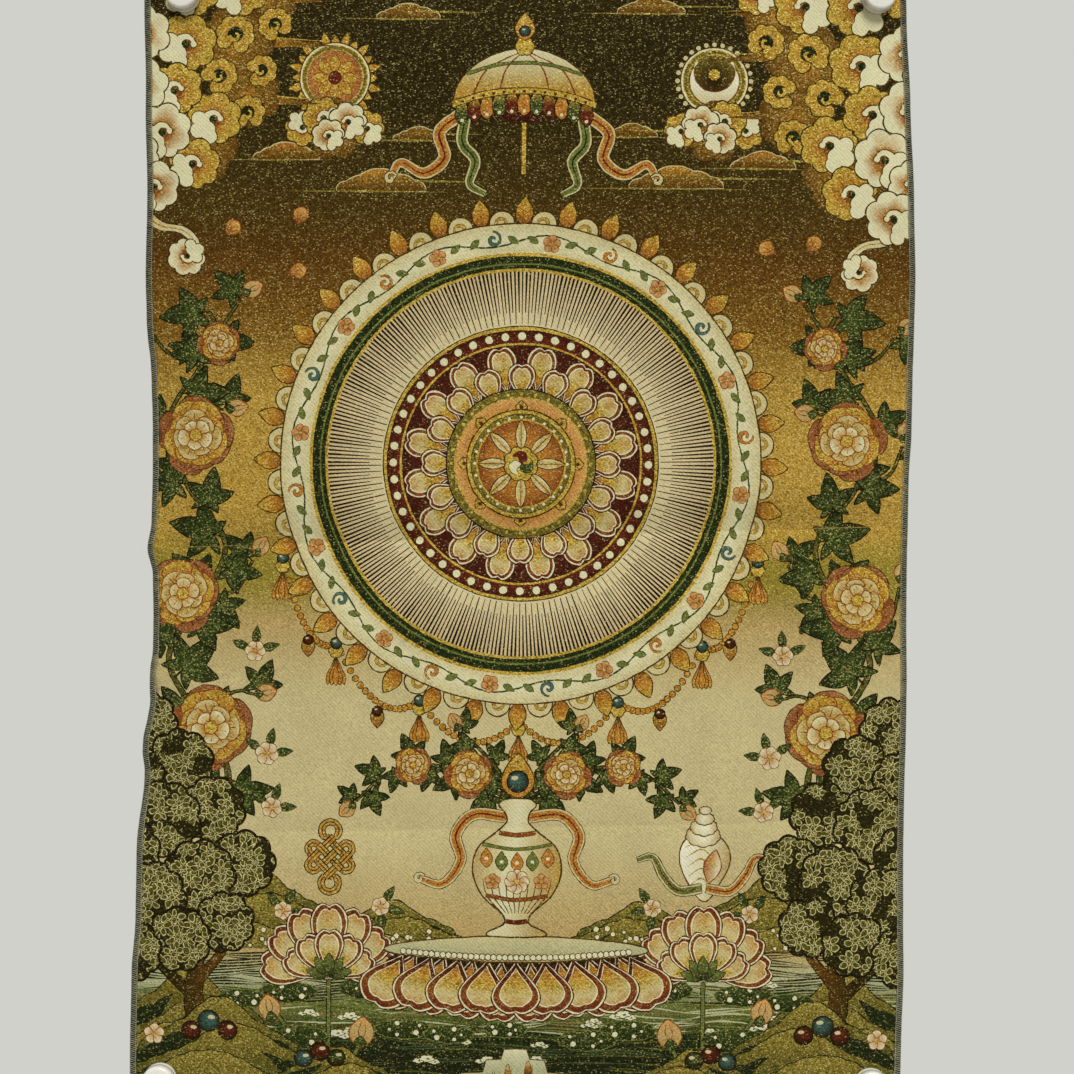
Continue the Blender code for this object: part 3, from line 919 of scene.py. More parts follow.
def grove(pen):
    """A tree whose rounded crowns are woven in a small ring pattern."""
    trunk = curve([(232, 850), (252, 818), (250, 780), (262, 740)])
    boughs = [ribbon(trunk, 30, 15, 10, 6), ribbon([(252, 812), (282, 782), (294, 744)], 9, 7, 4)]
    boughs += [ribbon([(250, 800), (230, 776), (226, 744)], 8, 6, 4), ribbon([(248, 826), (282, 848)], 10, 3)]
    blob(pen, boughs, fade((238, 0), (268, 0), BROWN, UMBER, NIGHT), INK, 0.9)
    for x, down, radius in GROVE:
        pen.at(x, down, x).fill(scallops(radius, 9, 0.12), THICKET, INK, 2.0)


HILL_SIDE = [(0, 0), (0.2, 0.1), (0.42, 0.4), (0.66, 0.6), (0.88, 0.78), (1.0, 0.92), (1.04, 1.14)]
Terrace = namedtuple("Terrace", "x down width")
TERRACES = [Terrace(0, 0, 0.5), Terrace(-0.05, 0.26, 0.7), Terrace(0.04, 0.52, 0.88), Terrace(0, 0.78, 1.0)]


def hill(pen, width, height):
    """A broad hill in terraces: each is lit in the middle and along its bumpy crest, over dark flanks."""
    for i, step in enumerate(TERRACES):
        half, tall = 0.5 * width * step.width, 0.5 * height
        crest = curve(mirrored(HILL_SIDE) * (half, tall))
        crest[:, 1] -= 1.3 * np.abs(np.sin(crest[:, 0] / 4.3 + i))
        terrace = pen.at(step.x * width, step.down * height, flip=i % 2 == 1)
        land = np.concatenate([crest, [(half, 1.3 * height), (-half, 1.3 * height)]])
        terrace.fill(land, fade((0, 0), (0, 0.7 * height), CREST, OLIVE, MOSS, FOREST), DEEP, 0.9)
        for right in (True, False):
            flank = crest[(crest[:, 0] > 0.22 * half) if right else (crest[:, 0] < -0.22 * half)]
            flank = flank if right else flank[::-1]
            widths = (share * height for share in (0.01, 0.12, 0.2, 0.17, 0.05))
            shadow = ribbon(flank + (0, 0.175 * height), *widths)
            terrace.fill(shadow, fade((0, 0), (0, height), FOREST, DEEP))


ROCK_SIDE = [(0, 0), (0.1, 0.01), (0.13, 0.18), (0.27, 0.2), (0.3, 0.42), (0.5, 0.44), (0.53, 0.62),
             (0.74, 0.64), (0.78, 0.8), (0.97, 0.83), (1.02, 1.0)]
Cleft = namedtuple("Cleft", "out foot length")
CLEFTS = [Cleft(-0.72, 1.0, 0.3), Cleft(-0.58, 0.84, 0.26), Cleft(-0.44, 1.05, 0.46), Cleft(-0.34, 0.72, 0.2),
          Cleft(-0.2, 0.9, 0.5), Cleft(-0.07, 0.62, 0.36), Cleft(0.05, 1.0, 0.34), Cleft(0.12, 0.46, 0.26),
          Cleft(0.22, 0.86, 0.34), Cleft(0.38, 1.04, 0.48), Cleft(0.55, 0.9, 0.22), Cleft(0.8, 1.0, 0.2)]


def rock(pen, width, height):
    """A pale stepped rock face, split by rusty clefts that are darkest at their feet."""
    half = width / 2
    face = (mirrored(ROCK_SIDE) - (0, 1)) * (half, height)
    pen.fill(face, fade((0, -height), (0, 0), IVORY, STONE, STONE, SAND), BROWN, 1.0)
    for out, foot, length in CLEFTS:
        cleft = pen.at(half * out, height * (foot - 1))
        tall = length * height
        cleft.fill(petal(tall, 5.5, 0.22, 0.7), rise(tall, UMBER, RUST, HONEY, STONE), BROWN, 0.5)
        cleft.fill(ribbon([(3.4, -0.1 * tall), (3.4, -0.75 * tall)], 0.4, 1.2, 0.3), BROWN)


WATER_LINE = 772  # millimetres from the top edge, like the next two
FAR_WATER_END = 806
NEAR_WATER_START = 838


def ripples(pen):
    """Water: pale with bundles of dark lines far off, dark with pale ones nearer, with flecks of foam."""
    rng = np.random.default_rng(7)
    water = np.array([(-330, WATER_LINE), (330, WATER_LINE), (330, 920), (-330, 920)])
    pen.fill(water, fade((0, WATER_LINE), (0, 858), SAND, STONE, SAGE, FOREST, DEEP))
    for row, down in enumerate(np.arange(776, 900, 6.0)):
        x = rng.uniform(-330, -300)
        while x < 316:
            length = rng.uniform(40, 90)
            far = down + rng.uniform(-12, 12) < FAR_WATER_END
            tones = (FOREST, DEEP, MOSS, FOREST) if far else (SAGE, STONE, WATER, MOSS)
            if down > NEAR_WATER_START:
                tones = (DEEP, MOSS, FOREST, RIPPLE)
            for strand in (-1, 0, 1):
                share = np.linspace(0.04 * (strand + 1), 1 - 0.05 * rng.uniform(0, 3), steps(length / 3, 6))
                bow = 2.3 * strand * np.sin(np.pi * share) ** 0.8
                along = x + length * share
                line = np.stack([along, down + bow + 2 * np.sin(along / 19 + row)], 1)
                pen.fill(ribbon(line, 0.2, 1.1, 1.5, 1.0, 0.2), tones[rng.integers(4)])
            x += length * rng.uniform(0.75, 0.95)
    for x, down in rng.uniform((-300, 792), (300, 880), (44, 2)):
        foam(pen.at(x, down), rng.uniform(2.0, 3.8))


def foam(pen, radius):
    """A cluster of low white curls of water over teal shadows."""
    for x, down, size in ((-1.9, 0.5, 0.7), (1.6, 0.7, 0.75), (0, 0, 1.0)):
        curl_of_foam = pen.at(x * radius, down * radius, size=size)
        curl_of_foam.fill(scallops(radius, 5, 0.3) * (1.7, 0.8), IVORY, FOREST, 0.6)
        curl_of_foam.at(0.3 * radius, 0.1 * radius).fill(circle(0.3 * radius) * (1.4, 0.8), TEAL)


Jewel = namedtuple("Jewel", "x down radius colour")
JEWELS = [
    Jewel(226, 838, 7.5, MAROON),
    Jewel(241, 831, 8.5, TEAL),
    Jewel(255, 839, 7.5, MAROON),
    Jewel(140, 858, 7, LEAF),
    Jewel(153, 853, 7.5, MAROON),
    Jewel(166, 859, 7, TEAL),
]


def sea(pen):
    """The lower part: water, rocks, and at each side a tree, hills, lotus flowers and jewels."""
    ripples(pen)
    for side in pen.sides():
        hill(side.at(256, 790), 230, 84)
        grove(side)
        for x, down in ((146, 786), (122, 846), (186, 824)):
            stalk = curve([(x, down), (146 + 0.3 * (x - 146), down + 40), (146, 880)])
            side.fill(ribbon(stalk, 2.6), SAGE, INK, 0.7)
        for x, down, width in ((178, 806, 46), (112, 802, 52), (88, 834, 44), (172, 842, 54), (214, 812, 40)):
            lily_pad(side.at(x, down), width)
        blossom(side.at(146, 790), 54)
        bud(side.at(122, 850, -8), 25)
        bud(side.at(190, 830, 12), 22)
        hill(side.at(232, 812), 250, 84)
        hill(side.at(140, 850), 190, 54)
        for x, down, radius, colour in JEWELS:
            jewel(side.at(x, down), radius, colour)
        floret(side.at(284, 842), 8, 5, IVORY, ORANGE)
    for x, down, width in ((-52, 838, 40), (56, 842, 46), (-8, 834, 34)):
        lily_pad(pen.at(x, down), width)
    rock(pen.at(0, 896), 168, 46)


def sky(pen):
    """Gold clouds in the upper corners, wisps, the sun and the moon."""
    for x, down, length, height, colour in ((-112, 180, 84, 17, HONEY), (118, 176, 90, 17, HONEY),
                                            (-186, 156, 62, 13, ORANGE), (186, 160, 60, 13, ORANGE),
                                            (-92, 44, 60, 12, AMBER), (98, 38, 64, 13, AMBER),
                                            (-58, 22, 44, 10, ORANGE), (62, 18, 42, 9, ORANGE),
                                            (-82, 140, 50, 10, AMBER), (84, 136, 46, 10, AMBER)):
        wisp(pen.at(x, down), length, height, colour)
    sun(pen.at(-148, 92))
    moon(pen.at(148, 92))
    cloud(pen.at(-148, 126), CLOUD_SEAT)
    cloud(pen.at(148, 126, flip=True), CLOUD_SEAT)
    for flip, drop, size in ((False, 8, 1.05), (True, 0, 0.98)):
        side = pen.at(0, drop, flip=flip)
        for x, down, length, height in ((212, 66, 62, 9), (206, 30, 50, 7), (214, 112, 56, 8)):
            streak(side.at(x, down), length, height)
        tail = curve([(290, 176), (297, 196), (284, 208), (266, 212), (256, 222), (260, 234)])
        paint = fade((290, 176), (262, 230), CLOUD_GOLD, CREAM, IVORY)
        side.fill(ribbon(tail, 18, 11, 7, 5, 6, 9), paint, UMBER, 1.0)
        side.fill(ribbon(tail[2:-4], 0.5, 1.3, 0.9, 0.3), HONEY)
        side.at(262, 232, 200, 0.8).fill(circle(3), IVORY)
        pale_puff(side.at(262, 232, 180), 15)
        cloud(side.at(302 * (1 - size), 0, size=size), CLOUD_BANK)
    for x, down, turn in ((-232, 214, 50), (-176, 206, 20), (196, 226, 300), (222, 224, 40), (-182, 244, 80)):
        fallen_petal(pen.at(x, down, turn), 13)


def shore(pen):
    """Green hills behind the water, with white blossom along their feet."""
    rng = np.random.default_rng(11)
    for side in pen.sides():
        hill(side.at(206, 708), 250, 84)
        hill(side.at(98, 734), 196, 52)
        for x in np.repeat(np.linspace(66, 300, 29), 2):
            pearl(side.at(x + rng.uniform(-4, 4), rng.uniform(752, 770)), rng.uniform(1.2, 2.1))


def meadow(pen):
    """Small flowers on the pale ground and a traditional emblem at each side of the vase."""
    for side in pen.sides():
        for x, down, radius in ((196, 620, 9), (206, 540, 8), (192, 662, 8), (106, 738, 7), (182, 742, 7)):
            for turn in (80, 150, 220):
                side.at(x, down, turn + x).at(0, -0.7 * radius).fill(petal(14, 6.5, 0.4), LEAF, INK, 0.5)
            floret(side.at(x, down, x), radius, 6, IVORY, ORANGE)
    knot(pen.at(-146, 700))
    conch(pen.at(146, 698))


def draw_design():
    """Every shape of the woven design, from the lowest to the one on top."""
    shapes = []
    pen = Pen(shapes)
    sky(pen)
    for side in pen.sides():
        vine(side)
    garlands(pen.at(0, 392))
    medallion(pen.at(0, 392))
    parasol(pen.at(0, 108))
    shore(pen)
    meadow(pen)
    sea(pen)
    lotus_seat(pen.at(0, 780), 88)
    vase(pen.at(0, 718))
    return shapes


# The cloth's place and folds


def smooth(line, rounds):
    """The line's values with their sharp changes eased."""
    for _ in range(rounds):
        padded = np.concatenate([line[:1], line, line[-1:]])
        line = (padded[:-2] + 2 * padded[1:-1] + padded[2:]) / 4
    return line


class Folds:
    """The place of the cloth's front face, read from its solid, with the finer creases added."""

    def __init__(self, node):
        mesh = node.data
        points = [v.co.copy() for v in mesh.vertices]
        tree = BVHTree.FromPolygons(points, [tuple(p.vertices) for p in mesh.polygons])
        rows = [self.row(tree, down) for down in FOLD_GRID_DOWN]
        stand = np.array(rows)
        stand = np.apply_along_axis(smooth, 0, stand, 1)
        self.stand = np.apply_along_axis(smooth, 1, stand, 1)
        self.edge_downs = np.arange(0, CLOTH_HEIGHT + 1, 1.5)
        self.edges = [self.side_edge(mesh, side) for side in (-1, 1)]

    def row(self, tree, down):
        """How far the front face stands off the board along one row, in millimetres."""
        at = min(max(down, 2.0), CLOTH_HEIGHT - 2.0)
        found = []
        for x in FOLD_GRID_X:
            hit = tree.ray_cast(Vector((x * MM, -0.1, -at * MM)), Vector((0, 1, 0)))[0]
            if hit is not None:
                found.append((x, -hit.y / MM))
        xs, stands = np.array(found).T
        return np.interp(FOLD_GRID_X, xs, stands)

    def side_edge(self, mesh, side):
        """The raw edge's x along the cloth's height."""
        found = {}
        for face in mesh.polygons:
            if face.normal.x * side > 0.7:
                for index in face.vertices:
                    x, _, z = mesh.vertices[index].co / MM
                    found[round(-z, 1)] = x
        downs = sorted(found)
        line = np.interp(self.edge_downs, downs, [found[d] for d in downs])
        return smooth(line, 2)

    def edge(self, side, down):
        """The x of the left (-1) or right (1) raw edge."""
        return np.interp(down, self.edge_downs, self.edges[(side + 1) // 2])

    def front(self, x, down):
        """How far the front face stands off the board, in millimetres, at each of several places."""
        column = (x - FOLD_GRID_X[0]) / FOLD_GRID
        row = (down - FOLD_GRID_DOWN[0]) / FOLD_GRID
        i, j = np.floor(row).astype(int), np.floor(column).astype(int)
        total = np.zeros(len(x))
        for di, row_weight in enumerate(cubic_weights(row - i)):
            for dj, column_weight in enumerate(cubic_weights(column - j)):
                at_row = np.clip(i + di - 1, 0, len(FOLD_GRID_DOWN) - 1)
                at_column = np.clip(j + dj - 1, 0, len(FOLD_GRID_X) - 1)
                total += row_weight * column_weight * self.stand[at_row, at_column]
        return total + self.creases(x, down)

    def creases(self, x, down):
        """The fine creases that the solid leaves out, fading out towards the edges and the magnets."""
        total = np.zeros(len(x))
        for crease in CREASES:
            away = down - crease.down + crease.climb * x
            total -= crease.depth * np.exp(-np.abs(away) / np.where(away < 0, crease.above, crease.under))
        total += 0.12 * np.sin(x / 19 + 1.3 * np.sin(down / 41)) * np.sin(down / 23 + 0.8 * np.sin(x / 37))
        inner = np.minimum(x - self.edge(-1, down), self.edge(1, down) - x)
        inner = np.minimum(inner, np.minimum(down, CLOTH_HEIGHT - down))
        free = np.clip((inner - 6) / 24, 0, 1)
        for place, _ in MAGNETS.values():
            free *= np.clip((np.hypot(x - place.x / MM, down + place.z / MM) - 18) / 30, 0, 1)
        return total * free


CREASE_OFFSETS = (-10, -6, -3, -1, 0, 1, 3, 6)
Crease = namedtuple("Crease", "down climb depth above under")
CREASES = [  # millimetres: the middle fold, soft above and sharp below, and the fainter quarter folds
    Crease(449.4, 0.0387, 1.3, 5.5, 3.0),
    Crease(226.0, 0.0133, 0.5, 4.0, 2.5),
    Crease(676.0, 0.0267, 0.5, 4.0, 2.5),
]


def cubic_weights(share):
    """The weights of the four grid lines round a place between the middle two."""
    t, t2, t3 = share, share**2, share**3
    return ((-t + 2 * t2 - t3) / 2, (2 - 5 * t2 + 3 * t3) / 2, (t + 4 * t2 - 3 * t3) / 2, (t3 - t2) / 2)


def magnet_places():
    """Each magnet's middle and half size, from its solid."""
    places = {}
    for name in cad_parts:
        if name.startswith("magnet_"):
            low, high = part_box(name)
            places[name] = ((low + high) / 2, (high - low) / 2)
    return places


MAGNETS = magnet_places()


# New objects


def add_object(name, data):
    """A new object in the scene."""
    made = bpy.data.objects.new(name, data)
    bpy.context.scene.collection.objects.link(made)
    return made


# The woven cloth


def outline_of(folds):
    """The cloth's raw outline on the flat design, clockwise from its top left corner."""
    downs = np.arange(RAW_EDGE, CLOTH_HEIGHT - RAW_EDGE, 3.0)
    downs = np.append(downs, CLOTH_HEIGHT - RAW_EDGE)
    left = np.stack([folds.edge(-1, downs), downs], 1)
    right = np.stack([folds.edge(1, downs), downs], 1)
    across = np.linspace(0, 1, 201)[1:-1, None]
    top = left[0] + (right[0] - left[0]) * across
    bottom = right[-1] + (left[-1] - right[-1]) * across
    return np.concatenate([left[:1], top, right, bottom, left[:0:-1]])


def triangulate(loops, lines, loose, merge):
    """Triangles that keep every closed loop's and open line's edges and use the loose points too."""
    points, edges = [], []
    for group, closed in ((loops, True), (lines, False)):
        for line in group:
            first, count = len(points), len(line)
            points.extend(line)
            edges.extend((first + i, first + (i + 1) % count) for i in range(count if closed else count - 1))
    points.extend(loose)
    flat = [Vector((p[0], -p[1])) for p in points]
    found, _, faces, origins, _, _ = delaunay_2d_cdt(flat, edges, [], 0, merge)
    return np.array([(p.x, -p.y) for p in found]), np.array(faces), origins


def even_points(outline, pitch, keep_off):
    """A staggered grid of points inside the outline."""
    low, high = outline.min(0), outline.max(0)
    rows = []
    for i, down in enumerate(np.arange(low[1] + keep_off, high[1] - keep_off, pitch * 0.87)):
        xs = np.arange(low[0] + (i % 2) * pitch / 2, high[0], pitch)
        rows.append(np.stack([xs, np.full(len(xs), down)], 1))
    return np.concatenate(rows)


def away_from(lines, points, pitch):
    """The points whose own square of this pitch holds no point of a line."""
    taken = set(map(tuple, np.floor(np.concatenate(lines) / pitch).astype(int).tolist()))
    own = np.floor(points / pitch).astype(int).tolist()
    return points[[tuple(square) not in taken for square in own]]


def within_cloth(folds, points, margin):
    x, down = points[:, 0], points[:, 1]
    held = (x > folds.edge(-1, down) + margin) & (x < folds.edge(1, down) - margin)
    return held & (down > RAW_EDGE + margin) & (down < CLOTH_HEIGHT - RAW_EDGE - margin)


def top_shapes(shapes, points):
    """The number of the shape on top at each point, or -1 on the bare ground."""
    order = np.argsort(points[:, 0])
    x, down = points[order].T
    top = np.full(len(points), -1)
    for number, shape in enumerate(shapes):
        first, last = np.searchsorted(x, (shape.low[0], shape.high[0]))
        column = down[first:last]
        near = order[first:last][(column > shape.low[1]) & (column < shape.high[1])]
        if len(near):
            top[near[inside(shape.loop, points[near])]] = number
    return top


def visible_lines(folds, shapes):
    """The stretches of the shapes' outlines that show, with no more points than they need."""
    points, faces, _ = triangulate([s.loop for s in shapes], [], [], MERGE)
    top = top_shapes(shapes, points[faces].mean(1))
    paints = np.array([id(s.paint) for s in shapes] + [0])[top]
    edges = np.sort(np.concatenate([faces[:, [0, 1]], faces[:, [1, 2]], faces[:, [2, 0]]]), 1)
    owner = np.tile(np.arange(len(faces)), 3)
    order = np.lexsort((edges[:, 1], edges[:, 0]))
    edges, owner = edges[order], owner[order]
    paired = np.nonzero(np.all(edges[1:] == edges[:-1], 1))[0]
    seen = edges[paired[paints[owner[paired]] != paints[owner[paired + 1]]]]
    on_cloth = within_cloth(folds, points, -2 * CURVE_STEP)
    seen = seen[on_cloth[seen].all(1)]
    return [simplify(points[line]) for line in chains(seen)]


def chains(edges):
    """The edges joined end to end, from one junction to the next."""
    links = {}
    for one, two in edges.tolist():
        links.setdefault(one, []).append(two)
        links.setdefault(two, []).append(one)
    junctions = {point for point, others in links.items() if len(others) != 2}
    lines = []
    for start in [*junctions, *links]:
        while links[start]:
            line = [start]
            while links[line[-1]] and (len(line) == 1 or line[-1] not in junctions):
                after = links[line[-1]].pop()
                links[after].remove(line[-1])
                line.append(after)
            lines.append(line)
    return lines


def simplify(line):
    """The line without the points that lie within a small distance of it."""
    keep = np.zeros(len(line), bool)
    keep[[0, -1]] = True
    spans = [(0, len(line) - 1)]
    while spans:
        first, last = spans.pop()
        if last - first < 2:
            continue
        run, between = line[last] - line[first], line[first + 1:last] - line[first]
        length = math.hypot(*run)
        away = np.hypot(between[:, 0], between[:, 1])
        if length > MERGE:
            away = np.abs(between[:, 0] * run[1] - between[:, 1] * run[0]) / length
        worst = first + 1 + int(np.argmax(away))
        if away[worst - first - 1] > LINE_TOLERANCE:
            keep[worst] = True
            spans += [(first, worst), (worst, last)]
    return line[keep]


def colours_at(shapes, top, points):
    """Each point's colour in the shape that its place belongs to."""
    colours = ground_paint(points)
    order = np.argsort(top, kind="stable")
    starts = np.searchsorted(top[order], np.arange(len(shapes) + 1))
    for number, shape in enumerate(shapes):
        chosen = order[starts[number]:starts[number + 1]]
        if len(chosen):
            colours[chosen] = shape.colours(points[chosen])
    return colours


def selvage_with_shade(folds, points, colours):
    """The strip under the overlock stitches, whose threads cover the design, painted near-black: the threads'
    dark bed, with painted shade in the gaps between the stitches.
    """
    x, down = points.T
    inner = np.minimum(x - folds.edge(-1, down), folds.edge(1, down) - x)
    inner = np.minimum(inner, np.minimum(down, CLOTH_HEIGHT - down) - RAW_EDGE)
    cover = np.clip((STITCH_REACH + STITCH_SHADE / 2 - inner) / STITCH_SHADE, 0, 1)[:, None]
    return colours * (1 - cover) + SHADED_SELVAGE * cover


def boundary_of(faces):
    """The edges that only one triangle has, in the triangle's own direction."""
    edges = np.concatenate([faces[:, [0, 1]], faces[:, [1, 2]], faces[:, [2, 0]]])
    count = faces.max() + 1
    one_way, other_way = edges[:, 0] * count + edges[:, 1], edges[:, 1] * count + edges[:, 0]
    return edges[~np.isin(one_way, other_way)].tolist()


def ordered(edges):
    """The boundary's vertices in order round the cloth."""
    after = dict(edges)
    start = min(after)
    chain = [start]
    while after[chain[-1]] != start:
        chain.append(after[chain[-1]])
    return chain


def crease_lines():
    """Lines beside each crease, closest at its middle, that the mesh follows."""
    xs = np.arange(-310, 311, FOLD_GRID)
    return [np.stack([xs, crease.down - crease.climb * xs + offset], 1)
            for crease in CREASES for offset in CREASE_OFFSETS]


def front_mesh(folds, shapes, outline):
    """The front's points and triangles, which follow the design, and its rim's points in order."""
    guides = [outline_inset(outline, STITCH_REACH + d) for d in (0.0, STITCH_SHADE)]
    lines = crease_lines() + visible_lines(folds, shapes)
    loose = away_from(lines, even_points(outline, FRONT_PITCH, KEEP_OFF), FRONT_PITCH)
    points, faces, _ = triangulate([outline, *guides], lines, loose, LINE_MERGE)
    faces = faces[within_cloth(folds, points[faces].mean(1), 0.0)]
    rim = ordered(boundary_of(faces))
    used = np.unique(faces)
    renumber = np.full(len(points), -1)
    renumber[used] = np.arange(len(used))
    return points[used], renumber[faces], renumber[rim]


def back_mesh(folds, outline, rim_points):
    """The back's points and coarser triangles, and the number of each rim point among them."""
    loose = even_points(outline, BACK_PITCH, KEEP_OFF)
    loose = loose[within_cloth(folds, loose, KEEP_OFF)]
    points, faces, origins = triangulate([rim_points], [], loose, MERGE / 10)
    faces = faces[within_cloth(folds, points[faces].mean(1), 0.0)]
    rim = np.zeros(len(rim_points), int)
    for number, sources in enumerate(origins):
        for source in sources:
            if source < len(rim_points):
                rim[source] = number
    return points, faces, rim


def make_cloth(folds, shapes):
    """One closed sheet: the woven face, the plainer reverse and the thin raw edge between them."""
    outline = outline_of(folds)
    points, faces, rim = front_mesh(folds, shapes, outline)
    back_points, back_faces, back_rim = back_mesh(folds, outline, points[rim])
    count = len(points)
    front_y = -folds.front(points[:, 0], points[:, 1])
    back_y = np.minimum(-folds.front(back_points[:, 0], back_points[:, 1]) + THICKNESS, -0.02)
    places = np.concatenate([
        np.stack([points[:, 0], front_y, -points[:, 1]], 1),
        np.stack([back_points[:, 0], back_y, -back_points[:, 1]], 1),
    ]) * MM
    around = np.roll(np.arange(len(rim)), -1)
    walls = np.concatenate([
        np.stack([rim[around], rim, back_rim + count], 1),
        np.stack([rim[around], back_rim + count, back_rim[around] + count], 1),
    ])
    triangles = np.concatenate([faces, back_faces[:, ::-1] + count, walls])

    top = top_shapes(shapes, points[faces].mean(1))
    corners = points[faces].reshape(-1, 2)
    face_colours = selvage_with_shade(folds, corners, colours_at(shapes, np.repeat(top, 3), corners))
    back_colours = reverse_side(colours_at(shapes, top_shapes(shapes, back_points), back_points))
    back_corner_colours = back_colours[back_faces[:, ::-1].reshape(-1)]
    # The raw edge in the same near-black, with its painted shade
    wall_colours = np.tile(SHADED_SELVAGE, (3 * len(walls), 1))
    colours = np.concatenate([face_colours, back_corner_colours, wall_colours])
    flat = np.concatenate([points, back_points])
    maps = bake_map(flat[triangles.reshape(-1)], 3 * len(faces))
    print("design:", len(shapes), "shapes,", len(faces), "front triangles,", len(triangles), "in all")
    return mesh_piece("woven_cloth", places, triangles, colours, maps)


def outline_inset(outline, by):
    """The outline moved in over the cloth, across at its sides and down or up at its ends."""
    off_middle = outline - (0.0, CLOTH_HEIGHT / 2)
    return outline - np.sign(off_middle) * by * (np.abs(off_middle) > (290, 440))


def reverse_side(colours):
    """The back of the weave, where the design shows faintly in the reverse colours."""
    muted = colours.copy()
    light = colours[:, :3].mean(1, keepdims=True)
    muted[:, :3] = 0.45 * SAND[:3] + 0.2 * BROWN[:3] + 0.2 * colours[:, :3] - 0.15 * light
    muted[:, 3:] = (0.05, 0.0)
    return np.clip(muted, 0.01, 1)


def bake_map(corners, front_count):
    """A flat map of the front beside a narrower one of the back, in shares of the square."""
    across = (corners[:, 0] + MAP_WIDTH / 2) / MAP_WIDTH
    up = 1 - (corners[:, 1] + MAP_MARGIN) / (CLOTH_HEIGHT + 2 * MAP_MARGIN)
    map_x = np.where(np.arange(len(corners)) < front_count, 0.01 + 0.76 * across, 0.79 + 0.2 * across)
    return np.stack([map_x, 0.01 + 0.98 * up], 1)


def mesh_piece(name, places, triangles, colours=None, maps=None):
    """A smooth mesh object from plain arrays."""
    mesh = bpy.data.meshes.new(name)
    mesh.vertices.add(len(places))
    mesh.vertices.foreach_set("co", places.astype(np.float32).ravel())
    mesh.loops.add(3 * len(triangles))
    mesh.loops.foreach_set("vertex_index", triangles.astype(np.int32).ravel())
    mesh.polygons.add(len(triangles))
    mesh.polygons.foreach_set("loop_start", np.arange(0, 3 * len(triangles), 3, dtype=np.int32))
    mesh.update(calc_edges=True)
    mesh.validate()
    mesh.shade_smooth()
    mesh.set_sharp_from_angle(angle=math.radians(60))
    if colours is not None:
        layer = mesh.color_attributes.new("woven", "FLOAT_COLOR", "CORNER")
        layer.data.foreach_set("color", colours[:, :4].astype(np.float32).ravel())
        layer = mesh.attributes.new("rings", "FLOAT", "CORNER")
        layer.data.foreach_set("value", colours[:, 4].astype(np.float32))
    if maps is not None:
        layer = mesh.uv_layers.new(name="OFBake")
        layer.data.foreach_set("uv", maps.astype(np.float32).ravel())
    return add_object(name, mesh)


# Overlock stitches


def tube(path, side, half_width, half_height, sides=6):
    """A flattened thread along a path; side is the direction of its width."""
    run = np.gradient(path, axis=0)
    run /= np.linalg.norm(run, axis=1, keepdims=True)
    side = side - run * np.sum(side * run, 1, keepdims=True)
    side /= np.linalg.norm(side, axis=1, keepdims=True)
    rise = np.cross(run, side)
    rings = []
    for k in range(sides):
        turn = 2 * math.pi * k / sides
        rings.append(path + side * half_width * math.cos(turn) + rise * half_height * math.sin(turn))
    places = np.stack(rings, 1).reshape(-1, 3)
    start = np.arange(len(path) - 1)[:, None] * sides
    k = np.arange(sides)[None, :]
    after = (k + 1) % sides
    a, b, c, e = start + k, start + after, start + sides + after, start + sides + k
    walls = np.concatenate([np.stack([a, b, c], -1).reshape(-1, 3), np.stack([a, c, e], -1).reshape(-1, 3)])
    fan = np.arange(1, sides - 1)
    head = np.stack([np.zeros_like(fan), fan + 1, fan], 1)
    foot = np.stack([np.zeros_like(fan), fan, fan + 1], 1) + (len(path) - 1) * sides
    return places, np.concatenate([walls, head, foot])


Turn = namedtuple("Turn", "inward forward ahead")
STITCH = [  # in from the raw edge, forward of the cloth's middle (in half thicknesses), and along the edge
    Turn(4.5, -0.6, 0.02),
    Turn(4.55, 1.3, 0.06),
    Turn(3.9, 1.75, 0.2),
    Turn(2.5, 1.8, 0.62),
    Turn(1.0, 1.75, 1.06),
    Turn(0.0, 1.3, 1.3),
    Turn(-0.36, 0.0, 1.42),
    Turn(0.0, -1.3, 1.46),
    Turn(1.6, -1.6, 1.5),
    Turn(3.7, -1.6, 1.56),
]


def edge_walk(folds, name):
    """Points along a raw edge a tenth of a millimetre apart, in the direction that it was sewn in."""
    fine = 0.1
    down = np.arange(RAW_EDGE, CLOTH_HEIGHT - RAW_EDGE + fine, fine)
    if name in ("left", "right"):
        side = -1 if name == "left" else 1
        walk = np.stack([folds.edge(side, down), down], 1)
        inward = np.tile((-side, 0.0), (len(walk), 1))
        return (walk, inward) if name == "left" else (walk[::-1], inward)
    down = RAW_EDGE if name == "top" else CLOTH_HEIGHT - RAW_EDGE
    ends = folds.edge(-1, down) + 4.5, folds.edge(1, down) - 4.5
    x = np.arange(ends[0], ends[1], fine)
    walk = np.stack([x, np.full(len(x), down)], 1)
    inward = np.tile((0.0, 1.0 if name == "top" else -1.0), (len(walk), 1))
    return (walk[::-1], inward) if name == "top" else (walk, inward)


